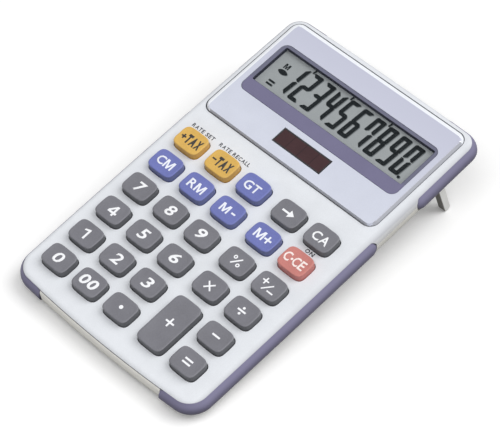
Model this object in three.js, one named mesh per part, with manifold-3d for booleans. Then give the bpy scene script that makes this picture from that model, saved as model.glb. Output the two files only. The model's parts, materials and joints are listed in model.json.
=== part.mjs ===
// Desktop calculator, stood on its fold-out stand.
// Millimetres. In the case's own frame +X is right, +Y is towards the display and +Z is out of the keys,
// with zero at the middle of the underside. The finished group leans that frame back on its stand.
import * as THREE from 'three';
import { mergeVertices } from 'three/addons/utils/BufferGeometryUtils.js';
import Module from 'manifold-3d';

const wasm = await Module();
wasm.setup();

// Case: outside shape
const caseWidth = 110.2;
const caseLength = 178.4;
const caseHeight = 11.1;
const cornerRadius = 10;
const sideCrown = 0.4;
const frontCrown = 1.5;
const rearCrown = 0.5;
const shoulderRadius = 3;
const tuckRadius = 4.5;
const wall = 1.8;

// Case: split between the cover and the rear case
const partingHeight = 6.8;
const frontPartingDrop = 1;
const partingGap = 0.3;
const seatGap = 0.3;

// Keys: a grid that fills the deck between its margins. The two rightmost columns stand apart, and the top
// row is shifted towards the user.
const keyColumns = 5;
const keyRows = 6;
const keySpacingX = 4.7;
const keySpacingY = 4.7;
const keyGroupGap = 2.08;
const topRowShift = 0.42;
const keySideMargin = 8.05;
const keyFarSideMargin = 9.77;
const keyFrontMargin = 11.25;
const keysToPanel = 12.22;
const keyProud = 3.7;
const keyDraft = 0.1;
const keyEdge = 0.6;
const keyCrown = 0.3;
const keyHoleGap = 0.3;
const keyFlange = 0.8;
const keyFlangeThickness = 0.7;
const keyTravel = 1.3;
// Power of the sine and cosine that draw a key's outline: 1 gives an ellipse, 0 a rectangle
const keyBendShare = 0.45;

// Key mat and main board
const domeSpare = 0.2;
const domeTopRadius = 2.4;
const domeBaseRadius = 3.6;
const matThickness = 0.8;
const matMargin = 0.3;
const boardThickness = 1.2;
const boardPastMat = 2.4;
const boardBeforePanel = 0.57;
const blobRadius = 4;
const blobHeight = 1.4;
const blobFromRearEdge = 5;

// Display panel, which stands proud of the cover in a shallow pocket
const panelLeftMargin = 3.9;
const panelRightMargin = 5.1;
const panelRearMargin = 3.8;
const panelBevelLeft = 2.6;
const panelBevelRear = 2.5;
const panelBevelRight = 1.2;
const panelBevelFront = 0.5;
const panelBevelDrop = 0.65;
const panelCornerRadius = 4.5;
const panelProud = 1.5;
const panelPocketDepth = 1;
const panelGroove = 0.6;

// Display lens, display glass and its holder
const lensLeftMargin = 5.1;
const lensRightMargin = 3.9;
const lensRearMargin = 12.9;
const lensCornerRadius = 3.5;
const lensThickness = 1;
const lensSideGap = 0.2;
const glassViewLength = 20.3;
const glassViewFromLensSide = 1.9;
const glassViewFromLensRear = 1.7;
const glassViewFromLensFront = 8.5;
const glassBorder = 1.8;
const glassSheet = 0.7;
const glassLedge = 2.6;
const windowGap = 0.5;
const holderThickness = 1.5;
const holderRailWidth = 1.5;
const holderRim = 7;

// Solar window and solar cell
const solarViewWidth = 28;
const solarViewLength = 8.35;
const solarViewFromPanelFront = 5.8;
const solarViewFromLens = 3.3;
const solarLedge = 0.8;
const solarCellBorder = 1.3;
const solarCellThickness = 1.1;

// Flat ribbon and solar leads
const ribbonThickness = 0.25;
const ribbonFromGlassEdge = 4;
const ribbonFromLead = 9;
const ribbonLanding = 4;
const leadRadius = 0.4;
const leadSpacing = 18;
const leadStraight = 1.2;
const leadLanding = 3;

// Battery and its contacts
const cellRadius = 5.8;
const cellHeight = 3.05;
const cellFromSide = 19.1;
const cellBehindBoard = 10;
const contactThickness = 0.3;
const contactWidth = 4;
const contactLanding = 3.5;
const contactReach = 4;
const contactRise = 1.5;
const cellRingGap = 0.3;
const cellRingWall = 1.5;
const cellRingHeight = 2.8;

// Grips
const gripCutFromSide = 18.6;
const gripBulge = 0.9;
const gripTopDrop = 0.5;
const gripBottomHeight = 2.6;
const gripSeatDepth = 1;
const gripRearLength = 43.4;
const gripSpacing = 25.3;
const gripUnderlap = 1.5;
// Outward bulge and height of the face, as shares of the bulge and of the grip's height
const gripFaceShares = [[-0.4, 0], [0.6, 0.15], [1, 0.38], [0.95, 0.55], [0.55, 0.7], [-0.32, 0.88], [-0.95, 1], [-1.6, 1]];

// Stand
const standHingeFromRear = 24.3;
const standHubRadius = 2;
const standBarRadius = 1.8;
const standSink = 0.3;
const standLegLength = 23;
const standLegWidth = 2.8;
const standLegInset = 4.7;
const standFootRadius = 1.85;
const standLean = THREE.MathUtils.degToRad(8.2);
const standPinRadius = 1.2;
const standPinLength = 1.2;
const standRunGap = 0.3;
const standRecessWall = 1.5;

// Feet
const footRadius = 4;
const footProud = 1.6;
const footSeatDepth = 0.6;
const footFrontFromSide = 19.1;
const footRearFromSide = 27.1;
const footFrontMargin = 12.2;
const footRearMargin = 13.2;

// Screws, bosses and posts
const caseScrewRadius = 1.1;
const caseScrewHeadRadius = 2.4;
const caseScrewHeadHeight = 1.5;
const caseScrewSink = 1;
const caseScrewRearFromSide = 15.1;
const caseScrewRearMargin = 8.7;
const caseBossWall = 1.2;
const coverBossWall = 1.2;
const boardScrewRadius = 0.8;
const boardScrewHeadRadius = 1.9;
const boardScrewHeadHeight = 1;
const boardBossWall = 0.55;
const screwGap = 0.3;
const screwSlotWidth = 0.6;
const screwSlotDepth = 0.6;
const postRadius = 2;
const postFromSide = 25.1;
const postFromBoardEnd = 8;

// Smoothness
const cornerSteps = 4;
const sideSteps = 4;
const arcSteps = 3;
const keySides = 16;
const domeSides = 6;
const roundSides = 16;
const screwSides = 12;
const leadSides = 6;
const leadSteps = 8;
const cutOverrun = 5;

// Heights that follow from the sizes above
const deckUnder = caseHeight - wall;
const frontPartingHeight = caseHeight - frontPartingDrop;
const keyFlangeTop = deckUnder - seatGap;
const keyFlangeBottom = keyFlangeTop - keyFlangeThickness;
const keyShoulder = caseHeight + keyProud - keyCrown - keyEdge;
const domeTop = keyFlangeBottom - seatGap;
const matTop = domeTop - keyTravel - domeSpare;
const matBottom = matTop - matThickness;
const boardTop = matBottom - seatGap;
const boardBottom = boardTop - boardThickness;
const pocketFloor = caseHeight - panelPocketDepth;
const panelTop = caseHeight + panelProud;
const panelBottom = pocketFloor + seatGap;
const lensBottom = panelTop - lensThickness;
const lensSeat = lensBottom - seatGap;
const glassTop = panelBottom - seatGap;
const glassStep = glassTop - glassSheet;
const glassBottom = glassStep - glassSheet;
const holderTop = glassBottom - seatGap;
const holderBottom = holderTop - holderThickness;
const solarCellBottom = glassTop - solarCellThickness;
const gripTopHeight = caseHeight - gripTopDrop;
const coverBossBottom = boardTop + seatGap;
const caseBossTop = coverBossBottom - seatGap;
const screwTop = deckUnder - 2 * screwGap;
const hingeHeight = standHubRadius + standSink;
const recessCeiling = hingeHeight + standHubRadius + standRunGap;
const minusContactHeight = wall + seatGap + contactThickness / 2;
const cellBottom = wall + 2 * seatGap + contactThickness;
const cellTop = cellBottom + cellHeight;
const plusContactHeight = cellTop + seatGap + contactThickness / 2;
const plusLandingHeight = boardTop + seatGap + contactThickness / 2;
const minusLandingHeight = boardBottom - seatGap - contactThickness / 2;

// Places that follow from the sizes above
const front = -caseLength / 2;
const rear = caseLength / 2;
const side = caseWidth / 2;
const panelWidth = caseWidth - panelLeftMargin - panelRightMargin;
const panelMiddle = (panelLeftMargin - panelRightMargin) / 2;
const lensWidth = panelWidth - lensLeftMargin - lensRightMargin;
const lensMiddle = panelMiddle + (lensLeftMargin - lensRightMargin) / 2;
const lensLength = glassViewFromLensRear + glassViewLength + glassViewFromLensFront;
const solarReach = solarViewFromLens + solarViewLength + solarViewFromPanelFront;
const panelLength = lensRearMargin + lensLength + solarReach;
const glassViewWidth = lensWidth - 2 * glassViewFromLensSide;
const keysAcross = caseWidth - keySideMargin - keyFarSideMargin - keyGroupGap;
const keysAlong = caseLength - keyFrontMargin - keysToPanel - panelLength - panelRearMargin + topRowShift;
const keyPitchX = (keysAcross + keySpacingX) / keyColumns;
const keyPitchY = (keysAlong + keySpacingY) / keyRows;
const keyWidth = keyPitchX - keySpacingX;
const keyLength = keyPitchY - keySpacingY;
const firstColumn = -side + keySideMargin + keyWidth / 2;
const firstRow = front + keyFrontMargin + keyLength / 2;
const lastRow = keyRows - 1;
const lastColumn = keyColumns - 1;
const panelRear = rear - panelRearMargin;
const panelBase = centred(panelMiddle, panelRear - panelLength / 2, panelWidth, panelLength);
const panelFlat = {
  left: panelBase.left + panelBevelLeft,
  right: panelBase.right - panelBevelRight,
  front: panelBase.front + panelBevelFront,
  rear: panelBase.rear - panelBevelRear,
};
const lensRear = panelRear - lensRearMargin;
const lensArea = centred(lensMiddle, lensRear - lensLength / 2, lensWidth, lensLength);
const glassViewRear = lensRear - glassViewFromLensRear;
const glassView = centred(lensMiddle, glassViewRear - glassViewLength / 2, glassViewWidth, glassViewLength);
const glassArea = grown(glassView, glassBorder);
const glassUpperArea = { ...glassArea, front: glassArea.front - glassLedge };
const solarY = panelBase.front + solarViewFromPanelFront + solarViewLength / 2;
const solarView = centred(lensMiddle, solarY, solarViewWidth, solarViewLength);
const solarCellArea = grown(solarView, solarCellBorder);
const matArea = grown({
  left: columnX(0) - keyWidth / 2,
  right: columnX(lastColumn) + keyWidth / 2,
  front: rowY(0) - keyLength / 2,
  rear: rowY(lastRow) + keyLength / 2,
}, matMargin);
const boardArea = {
  left: matArea.left - boardPastMat,
  right: matArea.right + boardPastMat,
  front: matArea.front,
  rear: panelBase.front - boardBeforePanel,
};
const cellX = side - cellFromSide;
const cellY = boardArea.rear + cellBehindBoard;
const standHingeY = rear - standHingeFromRear;
const standLegOuter = side - standLegInset;
const standLegInner = standLegOuter - standLegWidth;
const standRearReach = standHubRadius / Math.cos(standLean) + hingeHeight * Math.tan(standLean);
const gripCutX = side - gripCutFromSide;
const gripRearEnd = rear - gripRearLength;
const gripFrontEnd = gripRearEnd - gripSpacing;
const postX = side - postFromSide;
const footFrontX = side - footFrontFromSide;
const footRearX = side - footRearFromSide;
const caseScrewRearX = side - caseScrewRearFromSide;
const feet = [
  ['foot_front_left', -footFrontX, front + footFrontMargin],
  ['foot_front_right', footFrontX, front + footFrontMargin],
  ['foot_rear_left', -footRearX, rear - footRearMargin],
  ['foot_rear_right', footRearX, rear - footRearMargin],
];

// The front pair of case screws goes where four keys meet, the rear pair behind the display
const caseScrews = [
  [betweenColumns(0), betweenRows(1)],
  [betweenColumns(3), betweenRows(1)],
  [-caseScrewRearX, rear - caseScrewRearMargin],
  [caseScrewRearX, rear - caseScrewRearMargin],
];
const boardScrews = [
  [betweenColumns(2), betweenRows(0)],
  [betweenColumns(2), betweenRows(4)],
];

// Rectangles in plan, as their left, right, front and rear edges
function centred(x, y, width, length) {
  return { left: x - width / 2, right: x + width / 2, front: y - length / 2, rear: y + length / 2 };
}

function grown(area, by) {
  return { left: area.left - by, right: area.right + by, front: area.front - by, rear: area.rear + by };
}

// Key places: columns run left to right, rows run from the user to the display
function columnX(column) {
  return firstColumn + column * keyPitchX + (column > 2 ? keyGroupGap : 0);
}

function rowY(row) {
  return firstRow + row * keyPitchY + (row === lastRow ? -topRowShift : 0);
}

function betweenColumns(column) {
  return (columnX(column) + columnX(column + 1)) / 2;
}

function betweenRows(row) {
  return (rowY(row) + rowY(row + 1)) / 2;
}

// Solids from three.js geometry
function solid(geometry) {
  const bare = geometry.clone();
  bare.deleteAttribute('normal');
  bare.deleteAttribute('uv');
  const merged = mergeVertices(bare);
  return new wasm.Manifold(new wasm.Mesh({
    numProp: 3,
    vertProperties: new Float32Array(merged.attributes.position.array),
    triVerts: new Uint32Array(merged.index.array),
  }));
}

function block(area, low, high) {
  const width = area.right - area.left;
  const length = area.rear - area.front;
  const geometry = new THREE.BoxGeometry(width, length, high - low);
  geometry.translate((area.left + area.right) / 2, (area.front + area.rear) / 2, (low + high) / 2);
  return solid(geometry);
}

function post(x, y, low, high, radiusLow, radiusHigh = radiusLow, sides = roundSides) {
  const geometry = new THREE.CylinderGeometry(radiusHigh, radiusLow, high - low, sides);
  geometry.rotateX(Math.PI / 2);
  geometry.translate(x, y, (low + high) / 2);
  return solid(geometry);
}

function pinAlongX(left, right, y, z, radius) {
  const geometry = new THREE.CylinderGeometry(radius, radius, right - left, roundSides);
  geometry.rotateZ(Math.PI / 2);
  geometry.translate((left + right) / 2, y, z);
  return solid(geometry);
}

// A shape drawn in the YZ plane, stretched along X
function barAlongX(shape, left, right) {
  const options = { depth: right - left, bevelEnabled: false, curveSegments: cornerSteps };
  const geometry = new THREE.ExtrudeGeometry(shape, options);
  // The shape's x and y become Y and Z, and its depth becomes X
  const turn = new THREE.Matrix4().makeBasis(
    new THREE.Vector3(0, 1, 0),
    new THREE.Vector3(0, 0, 1),
    new THREE.Vector3(1, 0, 0),
  );
  geometry.applyMatrix4(turn);
  geometry.translate(left, 0, 0);
  return solid(geometry);
}

// A skin through rings of equal point count, closed by a fan at each end. An end may have a raised middle.
function loft(rings, crown = 0) {
  const count = rings[0].length;
  const positions = rings.flat().flatMap((p) => [p.x, p.y, p.z]);
  const index = [];
  for (let r = 0; r + 1 < rings.length; r++) {
    for (let i = 0; i < count; i++) {
      const j = (i + 1) % count;
      const [a, b, c, d] = [r * count + i, r * count + j, (r + 1) * count + j, (r + 1) * count + i];
      index.push(a, b, c, a, c, d);
    }
  }
  const ends = [[rings[0], 0, 0], [rings.at(-1), (rings.length - 1) * count, crown]];
  ends.forEach(([ring, start, rise], end) => {
    const middle = ring.reduce((sum, p) => sum.clone().add(p), new THREE.Vector3()).divideScalar(count);
    const centre = positions.length / 3;
    positions.push(middle.x, middle.y, middle.z + rise);
    for (let i = 0; i < count; i++) {
      const j = (i + 1) % count;
      index.push(centre, start + (end ? i : j), start + (end ? j : i));
    }
  });
  const geometry = new THREE.BufferGeometry();
  geometry.setAttribute('position', new THREE.Float32BufferAttribute(positions, 3));
  geometry.setIndex(index);
  return geometry;
}

function atHeight(points, z) {
  return points.map((p) => new THREE.Vector3(p.x, p.y, z));
}

function roundedRectangle(area, radius) {
  const points = [];
  const corners = [
    [area.right - radius, area.front + radius],
    [area.right - radius, area.rear - radius],
    [area.left + radius, area.rear - radius],
    [area.left + radius, area.front + radius],
  ];
  corners.forEach(([x, y], quarter) => {
    for (let k = 0; k <= cornerSteps; k++) {
      const angle = (quarter - 1 + k / cornerSteps) * (Math.PI / 2);
      points.push(new THREE.Vector2(x + radius * Math.cos(angle), y + radius * Math.sin(angle)));
    }
  });
  return points;
}

function roundedBlock(area, radius, low, high) {
  const outline = roundedRectangle(area, radius);
  return solid(loft([atHeight(outline, low), atHeight(outline, high)]));
}

// Case outline in plan, moved inwards by an inset: round corners joined by gently crowned sides
function caseOutline(inset) {
  const x = side - sideCrown - cornerRadius;
  const yFront = front + frontCrown + cornerRadius;
  const yRear = rear - rearCrown - cornerRadius;
  const radius = cornerRadius - inset;
  const corners = [[x, yFront], [x, yRear], [-x, yRear], [-x, yFront]];
  const crowns = [sideCrown, rearCrown, sideCrown, frontCrown];
  const points = [];
  corners.forEach(([cx, cy], quarter) => {
    for (let k = 0; k <= cornerSteps; k++) {
      const angle = (quarter - 1 + k / cornerSteps) * (Math.PI / 2);
      points.push(new THREE.Vector2(cx + radius * Math.cos(angle), cy + radius * Math.sin(angle)));
    }
    const [nextX, nextY] = corners[(quarter + 1) % corners.length];
    const outward = quarter * (Math.PI / 2);
    for (let k = 1; k < sideSteps; k++) {
      const t = k / sideSteps;
      const reach = radius + crowns[quarter] * 4 * t * (1 - t);
      points.push(new THREE.Vector2(
        cx + (nextX - cx) * t + reach * Math.cos(outward),
        cy + (nextY - cy) * t + reach * Math.sin(outward),
      ));
    }
  });
  return points;
}

// A case-shaped solid from a list of [inset, height] rings
function caseSolid(profile) {
  return solid(loft(profile.map(([inset, z]) => atHeight(caseOutline(inset), z))));
}

function quarterArc(steps, place) {
  return Array.from({ length: steps + 1 }, (_, k) => place((k / steps) * (Math.PI / 2)));
}

const caseOutside = caseSolid([
  ...quarterArc(arcSteps, (a) => [tuckRadius * (1 - Math.sin(a)), tuckRadius * (1 - Math.cos(a))]),
  ...quarterArc(arcSteps, (a) => [
    shoulderRadius * (1 - Math.cos(a)),
    caseHeight - shoulderRadius * (1 - Math.sin(a)),
  ]),
]);
const caseInside = caseSolid([
  [tuckRadius, wall],
  [wall, tuckRadius],
  [wall, caseHeight - shoulderRadius],
  [shoulderRadius, deckUnder],
]);
const caseShell = caseOutside.subtract(caseInside);

// Everywhere in plan, for cuts that go by height alone
const everywhere = grown({ left: -side, right: side, front, rear }, cutOverrun);

// The front wall of the rear case rises between the front grips to a higher parting line
function frontWallRegion(gap) {
  const reach = gripCutX + gripUnderlap + gap;
  const area = {
    left: -reach,
    right: reach,
    front: everywhere.front,
    rear: front + wall + frontCrown + gap,
  };
  return block(area, -cutOverrun, frontPartingHeight - partingGap / 2 + gap);
}

// Grips: a bulged band round each corner, let into the cover and the rear case
const gripMiddle = (gripTopHeight + gripBottomHeight) / 2;
const gripSeatProfile = [
  [shoulderRadius / 2, gripBottomHeight],
  [gripSeatDepth, gripMiddle],
  [shoulderRadius / 2, gripTopHeight - gripSeatDepth],
  [shoulderRadius / 2 + seatGap, gripTopHeight],
];

function gripSeatCore(gap) {
  const [lowInset, low] = gripSeatProfile[0];
  const [highInset, high] = gripSeatProfile.at(-1);
  return caseSolid([
    [lowInset - gap, low - cutOverrun],
    ...gripSeatProfile.map(([inset, z]) => [inset - gap, z]),
    [highInset - gap, high + cutOverrun],
  ]);
}

const gripFace = caseSolid(gripFaceShares.map(([out, up]) => [
  -out * gripBulge,
  gripBottomHeight + seatGap + up * (gripTopHeight - gripBottomHeight - 2 * seatGap),
]));
const gripBand = gripFace.subtract(gripSeatCore(seatGap));
const gripSeatBand = block(everywhere, gripBottomHeight, gripTopHeight).subtract(gripSeatCore(0));

// One grip's reach: from a straight cut on the short side to a round end on the long side
function gripRegion(right, atFront, gap) {
  const low = gripBottomHeight + gap;
  const high = gripTopHeight - gap;
  const radius = (high - low) / 2;
  const far = atFront ? everywhere.front : everywhere.rear;
  const turn = atFront ? gripFrontEnd - gap - radius : gripRearEnd + gap + radius;
  const shape = new THREE.Shape();
  shape.moveTo(far, low);
  shape.lineTo(turn, low);
  shape.absarc(turn, (low + high) / 2, radius, -Math.PI / 2, Math.PI / 2, !atFront);
  shape.lineTo(far, high);
  shape.closePath();
  const inner = gripCutX + gap;
  const outer = everywhere.right;
  return right ? barAlongX(shape, inner, outer) : barAlongX(shape, -outer, -inner);
}

const grips = [
  ['grip_front_left', false, true],
  ['grip_front_right', true, true],
  ['grip_rear_left', false, false],
  ['grip_rear_right', true, false],
];

const gripSeats = grips
  .map(([, right, atFront]) => gripSeatBand.intersect(gripRegion(right, atFront, 0)))
  .reduce((all, seat) => all.add(seat));

// Keys. The stretch spreads the two halves of the outline apart, for the tall key.
function keyOutline(grow, stretch) {
  return Array.from({ length: keySides }, (_, k) => {
    const angle = (k / keySides) * Math.PI * 2;
    const [c, s] = [Math.cos(angle), Math.sin(angle)];
    const bend = (v) => Math.sign(v) * Math.abs(v) ** keyBendShare;
    const spread = k % (keySides / 2) === 0 ? 0 : Math.sign(s) * (stretch / 2);
    return new THREE.Vector2(bend(c) * (keyWidth / 2 + grow), bend(s) * (keyLength / 2 + grow) + spread);
  });
}

function keyGeometry(stretch) {
  return loft([
    atHeight(keyOutline(keyFlange, stretch), keyFlangeBottom),
    atHeight(keyOutline(keyFlange, stretch), keyFlangeTop),
    atHeight(keyOutline(0, stretch), keyFlangeTop),
    atHeight(keyOutline(-keyDraft, stretch), keyShoulder),
    atHeight(keyOutline(-keyDraft - keyEdge, stretch), keyShoulder + keyEdge),
  ], keyCrown);
}

function keyHole(key) {
  const outline = keyOutline(keyHoleGap, key.stretch);
  const hole = loft([
    atHeight(outline, deckUnder - cutOverrun),
    atHeight(outline, caseHeight + cutOverrun),
  ]);
  hole.translate(key.x, key.y, 0);
  return solid(hole);
}

const grey = { color: 0x7d7e84, roughness: 0.55 };
const blue = { color: 0x7580bd, roughness: 0.5 };
const amber = { color: 0xe2ab45, roughness: 0.5 };
const red = { color: 0xdd857c, roughness: 0.5 };
const keys = [
  ['key_0', 0, 0, grey],
  ['key_00', 1, 0, grey],
  ['key_point', 2, 0, grey],
  ['key_equals', 4, 0, grey],
  ['key_1', 0, 1, grey],
  ['key_2', 1, 1, grey],
  ['key_3', 2, 1, grey],
  ['key_minus', 4, 1, grey],
  ['key_4', 0, 2, grey],
  ['key_5', 1, 2, grey],
  ['key_6', 2, 2, grey],
  ['key_multiply', 3, 2, grey],
  ['key_divide', 4, 2, grey],
  ['key_7', 0, 3, grey],
  ['key_8', 1, 3, grey],
  ['key_9', 2, 3, grey],
  ['key_percent', 3, 3, grey],
  ['key_sign', 4, 3, grey],
  ['key_memory_clear', 0, 4, blue],
  ['key_memory_recall', 1, 4, blue],
  ['key_memory_minus', 2, 4, blue],
  ['key_memory_plus', 3, 4, blue],
  ['key_clear', 4, 4, red],
  ['key_tax_add', 0, 5, amber],
  ['key_tax_subtract', 1, 5, amber],
  ['key_grand_total', 2, 5, blue],
  ['key_backspace', 3, 5, grey],
  ['key_clear_all', 4, 5, grey],
].map(([name, column, row, look]) => ({ name, look, x: columnX(column), y: rowY(row), stretch: 0 }));
keys.push({ name: 'key_plus', look: grey, x: columnX(3), y: betweenRows(0), stretch: keyPitchY });

// Joins a list of solids, and cuts a list of solids out of one
function joined(solids) {
  return solids.reduce((all, one) => all.add(one));
}

function cut(body, tools) {
  return body.subtract(joined(tools));
}

// A screw with a cross slot, its head at the lower end
function screw(x, y, headLow, headHeight, headRadius, radius) {
  const head = post(x, y, headLow, headLow + headHeight, headRadius, headRadius, screwSides);
  const shank = post(x, y, headLow + headHeight / 2, screwTop, radius, radius, screwSides);
  const arms = [[headRadius, screwSlotWidth], [screwSlotWidth, headRadius]];
  const slots = arms.map(([width, length]) =>
    block(centred(x, y, width, length), headLow - cutOverrun, headLow + screwSlotDepth));
  return cut(head.add(shank), slots);
}

// A blind boss hanging from the deck, with its screw hole
function coverBosses(places, radius, wallAround) {
  const top = (deckUnder + pocketFloor) / 2;
  return places.map(([x, y]) => {
    const hole = post(x, y, coverBossBottom - cutOverrun, screwTop + screwGap, radius + screwGap);
    return post(x, y, coverBossBottom, top, radius + screwGap + wallAround).subtract(hole);
  });
}

function topCover() {
  const aboveParting = block(everywhere, partingHeight + partingGap / 2, caseHeight + cutOverrun);
  const skin = caseShell.intersect(aboveParting);
  const pocket = roundedBlock(
    grown(panelBase, panelGroove),
    panelCornerRadius + panelGroove,
    pocketFloor,
    caseHeight + cutOverrun,
  );
  const windows = [glassUpperArea, solarCellArea].map((area) =>
    block(grown(area, windowGap), deckUnder - cutOverrun, caseHeight + cutOverrun));
  const frontLap = frontWallRegion(partingGap);
  return joined([
    cut(skin, [frontLap, gripSeats, pocket, ...windows, ...keys.map(keyHole)]),
    ...coverBosses(caseScrews, caseScrewRadius, coverBossWall),
    ...coverBosses(boardScrews, boardScrewRadius, boardBossWall),
  ]);
}

function displayPanel() {
  const base = roundedRectangle(panelBase, panelCornerRadius);
  const flat = roundedRectangle(panelFlat, panelCornerRadius - panelBevelRear);
  const plate = solid(loft([
    atHeight(base, panelBottom),
    atHeight(base, panelTop - panelBevelDrop),
    atHeight(flat, panelTop),
  ]));
  const lensPocket = roundedBlock(
    grown(lensArea, lensSideGap),
    lensCornerRadius + lensSideGap,
    lensSeat,
    panelTop + cutOverrun,
  );
  const solarPocket = block(grown(solarView, lensSideGap), lensSeat, panelTop + cutOverrun);
  const openings = [glassView, grown(solarView, -solarLedge)].map((area) =>
    block(area, panelBottom - cutOverrun, panelTop + cutOverrun));
  return cut(plate, [lensPocket, solarPocket, ...openings]);
}

function displayGlass() {
  return block(glassUpperArea, glassStep, glassTop).add(block(glassArea, glassBottom, glassTop));
}

// A frame under the glass, whose side rails reach up to the deck beside the window
function displayHolder() {
  const railInner = glassArea.right + windowGap + seatGap;
  const railOuter = railInner + holderRailWidth;
  const area = {
    left: -railOuter,
    right: railOuter,
    front: glassArea.front + seatGap,
    rear: glassArea.rear + holderRailWidth,
  };
  const rails = [[-railOuter, -railInner], [railInner, railOuter]].map(([left, right]) =>
    block({ ...area, left, right }, holderBottom, deckUnder - seatGap));
  const middle = block(grown(glassArea, -holderRim), holderBottom - cutOverrun, holderTop + cutOverrun);
  return joined([block(area, holderBottom, holderTop), ...rails]).subtract(middle);
}

// A bent strip of sheet, from its path in the YZ plane
function strip(path, thickness, left, right) {
  const normals = path.map((_, k) => {
    const along = path[Math.min(k + 1, path.length - 1)].clone().sub(path[Math.max(k - 1, 0)]).normalize();
    return new THREE.Vector2(-along.y, along.x).multiplyScalar(thickness / 2);
  });
  const upper = path.map((p, k) => p.clone().add(normals[k]));
  const lower = path.map((p, k) => p.clone().sub(normals[k]));
  return barAlongX(new THREE.Shape([...upper, ...lower.reverse()]), left, right);
}

// The ribbon leaves the underside of the display glass's ledge and lands on the main board
function displayRibbon() {
  const half = ribbonThickness / 2;
  const high = glassStep - seatGap - half;
  const low = boardTop + seatGap + half;
  const start = glassArea.front - seatGap;
  const end = boardArea.rear - ribbonLanding;
  const curve = new THREE.SplineCurve([
    new THREE.Vector2(start, high),
    new THREE.Vector2(start - glassLedge, high - ribbonThickness),
    new THREE.Vector2(boardArea.rear + ribbonLanding, low + ribbonThickness),
    new THREE.Vector2(end, low),
  ]);
  const left = glassArea.left + ribbonFromGlassEdge;
  const right = -leadSpacing / 2 - ribbonFromLead;
  return strip(curve.getPoints(leadSteps), ribbonThickness, left, right);
}

function solarLead(x) {
  const startY = solarCellArea.front + solarCellBorder + leadRadius;
  const endY = boardArea.rear - leadLanding;
  const high = solarCellBottom - seatGap;
  const low = boardTop + seatGap;
  const path = new THREE.CatmullRomCurve3([
    new THREE.Vector3(x, startY, high),
    new THREE.Vector3(x, startY, high - leadStraight),
    new THREE.Vector3(x, endY, low + leadStraight),
    new THREE.Vector3(x, endY, low),
  ]);
  const section = new THREE.Shape(Array.from({ length: leadSides }, (_, k) => {
    const angle = (k / leadSides) * Math.PI * 2;
    return new THREE.Vector2(leadRadius * Math.cos(angle), leadRadius * Math.sin(angle));
  }));
  return new THREE.ExtrudeGeometry(section, { steps: leadSteps, extrudePath: path });
}

function keyMat() {
  const domes = keys.flatMap((key) => {
    const offsets = key.stretch ? [-key.stretch / 2, key.stretch / 2] : [0];
    return offsets.map((dy) =>
      post(key.x, key.y + dy, matBottom, domeTop, domeBaseRadius, domeTopRadius, domeSides));
  });
  const caseHoles = caseScrews.map(([x, y]) =>
    post(x, y, matBottom - cutOverrun, domeTop, caseScrewRadius + screwGap + coverBossWall + seatGap));
  const boardHoles = boardScrews.map(([x, y]) =>
    post(x, y, matBottom - cutOverrun, domeTop, boardScrewRadius + screwGap + boardBossWall + seatGap));
  return cut(joined([block(matArea, matBottom, matTop), ...domes]), [...caseHoles, ...boardHoles]);
}

// Radius of the counterbore for a case screw's head, and of the boss round it
const counterboreRadius = caseScrewHeadRadius + screwGap;
const caseBossRadius = counterboreRadius + caseBossWall;

// The main board, with the sealed chip moulded onto it
function mainBoard() {
  const chipY = boardArea.rear - blobFromRearEdge;
  const chip = post(0, chipY, boardBottom, boardTop + blobHeight, blobRadius, blobRadius / 2);
  const holes = [
    ...caseScrews.map(([x, y]) => post(x, y, 0, caseHeight, caseBossRadius + seatGap)),
    ...boardScrews.map(([x, y]) => post(x, y, 0, caseHeight, boardScrewRadius + screwGap)),
  ];
  return cut(block(boardArea, boardBottom, boardTop).add(chip), holes);
}

// A contact strip from under or over the cell to the main board
function batteryContact(bodyHeight, boardHeight) {
  const bendStart = cellY - cellRadius - cellRingGap;
  const path = [
    new THREE.Vector2(cellY + contactReach, bodyHeight),
    new THREE.Vector2(bendStart, bodyHeight),
    new THREE.Vector2(boardArea.rear + contactRise, boardHeight),
    new THREE.Vector2(boardArea.rear - contactLanding, boardHeight),
  ];
  return strip(path, contactThickness, cellX - contactWidth / 2, cellX + contactWidth / 2);
}

// Stand, drawn folded out: two legs on one cross-bar, with a pin at each outer end
function standSolid() {
  const [hingeY, hingeZ] = [standHingeY, hingeHeight];
  const footY = hingeY + standLegLength * Math.sin(standLean);
  const footZ = hingeZ - standLegLength * Math.cos(standLean);
  const shape = new THREE.Shape();
  shape.absarc(hingeY, hingeZ, standHubRadius, standLean, standLean + Math.PI);
  shape.absarc(footY, footZ, standFootRadius, standLean + Math.PI, standLean + 2 * Math.PI);
  shape.closePath();
  const legs = [[-standLegOuter, -standLegInner], [standLegInner, standLegOuter]];
  const barReach = standLegOuter - standLegWidth / 2;
  const bar = pinAlongX(-barReach, barReach, hingeY, hingeZ, standBarRadius);
  const reach = standLegOuter + standPinLength;
  const pins = [[-reach, -standLegInner], [standLegInner, reach]].map(([left, right]) =>
    pinAlongX(left, right, hingeY, hingeZ, standPinRadius));
  return joined([...legs.map(([left, right]) => barAlongX(shape, left, right)), bar, ...pins]);
}

// Room for the folded stand in the underside
function standChannels(gap, ceiling) {
  const across = {
    left: -standLegOuter - gap,
    right: standLegOuter + gap,
    front: standHingeY - standHubRadius - gap,
    rear: standHingeY + standRearReach + gap,
  };
  const legFront = standHingeY - standLegLength - standFootRadius - gap;
  const legs = [[-standLegOuter, -standLegInner], [standLegInner, standLegOuter]].map(([left, right]) =>
    ({ left: left - gap, right: right + gap, front: legFront, rear: across.rear }));
  return joined([across, ...legs].map((area) => block(area, -cutOverrun, ceiling)));
}

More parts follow.
